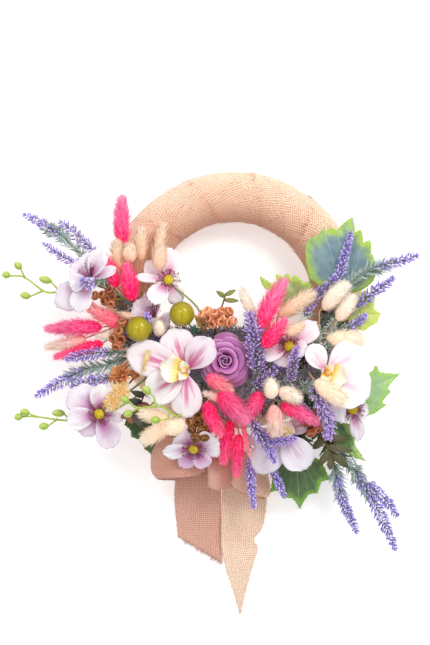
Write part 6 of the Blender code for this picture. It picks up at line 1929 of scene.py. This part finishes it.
def buildMoss():
    rng = random.Random(91)
    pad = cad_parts["foam_pad"]
    points = np.array([tuple(pad.matrix_world @ vertex.co) for vertex in pad.data.vertices])
    pad.data.calc_loop_triangles()
    corners = np.array([tuple(triangle.vertices) for triangle in pad.data.loop_triangles])
    a, b, c = np.moveaxis(points[corners], 1, 0)
    normals = np.cross(b - a, c - a)
    areas = np.linalg.norm(normals, axis=1) / 2
    normals = normals / np.maximum(areas * 2, 1e-12)[:, None]
    weights = areas * (normals[:, 2] > -0.5) * (points[corners].mean(1)[:, 2] > 0.02)

    def roots(count, flat):
        found = []
        kept = weights * (normals[:, 2] > flat)
        for pick in rng.choices(range(len(corners)), weights=list(kept), k=count):
            u, v = rng.random(), rng.random()
            if u + v > 1:
                u, v = 1 - u, 1 - v
            spot = Vector(a[pick] + (b[pick] - a[pick]) * u + (c[pick] - a[pick]) * v)
            found.append((spot, Vector(normals[pick])))
        return found

    form = Form()
    for spot, normal in roots(moss["roots"], -0.5):
        aside = scatter(rng, -0.4, 0.6)
        toward = (normal * rng.uniform(0.25, 0.8) + aside).normalized()
        if toward.dot(normal) < 0.15:
            toward = (toward + normal * 0.5).normalized()
        kind = rng.choices((0, 1, 2, 3), (5, 2, 2, 1))[0]
        long = rng.uniform(3.5, 8.5) * mm * (0.8 if normal.z > 0.8 else 1.0)
        addThinLeaf(form, spot - normal * 0.4 * mm, spot + toward * long,
                    rng.uniform(0.9, 2.3), kind, (rng.random(), 0), 0.25,
                    rng.uniform(-0.1, 0.3), 4)
    for count, flat, slot, reach in moss["needles"]:
        addNeedles(form, rng, roots(count, flat), slot, reach)
    for root, route, slot, count in moss["tufts"]:
        path = addStem(form, root, places(*route), 0.8, 0.5, 1)
        full = 1.7 if slot == 0 else 1.0
        for _ in range(count):
            spot, axis = along(path, rng.uniform(0.72 if slot in (1, 3) else 0.35, 1.0))
            toward = (axis * 0.5 + scatter(rng, -0.3, 0.8)).normalized()
            if slot == lavenderTuft:
                addFloret(form, spot, toward, rng.uniform(3.5, 6.0) * mm, 1.6 * mm,
                          lavenderSlot, (rng.random(), 0.5))
            else:
                addThinLeaf(form, spot, spot + toward * rng.uniform(5, 10) * full * mm,
                            rng.uniform(1.0, 2.4) * full, slot, (rng.random(), 0), 0.3, 0.2, 4)
    for base, tip, slot in moss["leaves"]:
        addThinLeaf(form, place(*base), place(*tip), 6, slot, (0.5, 0), 0.4, 0.2, 9)
    form.build("moss", mossGreens + [florets["plain"], goldLeaf, tealLeaf], "foam", False)


buildMoss()

buildBow()


# Camera, light and floor

studio = dict(
    floor=6.0, floorGlow=0.36, world=0.7, cameraSpot=(215, 322.5, 50), cameraAway=9.0, sensor=36,
    lamps=[("key", (1.1, 1.5, 2.2), 1.0, 40.0), ("window", (-0.75, 0.95, 1.7), 0.42, 3.5),
           ("fill", (-1.6, -0.6, 2.4), 1.6, 5.0)])


def buildStage():
    scene = bpy.context.scene
    floor = bpy.data.meshes.new("floor")
    reach = studio["floor"]
    floor.from_pydata([(-reach, -reach, 0), (reach, -reach, 0), (reach, reach, 0),
                       (-reach, reach, 0)], [], [(0, 1, 2, 3)])
    pale = Paint("pale floor")
    speck = pale.noise(pale.place(), 40.0, 3.0)
    floor.materials.append(pale.finish(
        pale.ramp(speck, (0.3, (0.90, 0.90, 0.90)), (0.7, (0.92, 0.92, 0.92))), 0.9,
        Emission_Color=(1, 1, 1, 1), Emission_Strength=studio["floorGlow"]))
    ground = bpy.data.objects.new("floor", floor)
    scene.collection.objects.link(ground)
    scene.world = bpy.data.worlds.new("studio")
    scene.view_settings.view_transform = "Standard"
    scene.world.use_nodes = True
    background = scene.world.node_tree.nodes["Background"]
    background.inputs[0].default_value = (1.0, 1.0, 1.0, 1)
    background.inputs[1].default_value = studio["world"]
    for name, spot, size, power in studio["lamps"]:
        lamp = bpy.data.lights.new(name, "AREA")
        lamp.size = size
        lamp.energy = power
        light = bpy.data.objects.new(name, lamp)
        light.location = spot
        light.rotation_euler = (-Vector(spot)).to_track_quat("-Z", "Y").to_euler()
        scene.collection.objects.link(light)
    print("stage set")


def buildCamera():
    away, sensor = studio["cameraAway"], studio["sensor"]
    camera = bpy.data.cameras.new("camera")
    camera.sensor_fit = "VERTICAL"
    camera.sensor_height = sensor
    camera.lens = sensor * away / (photoHeight * pixel)
    camera.clip_start = 0.5
    camera.clip_end = 60
    made = bpy.data.objects.new("camera", camera)
    made.location = place(*studio["cameraSpot"]) + up * away
    bpy.context.scene.collection.objects.link(made)
    bpy.context.scene.camera = made
    print("camera set")


buildStage()
buildCamera()
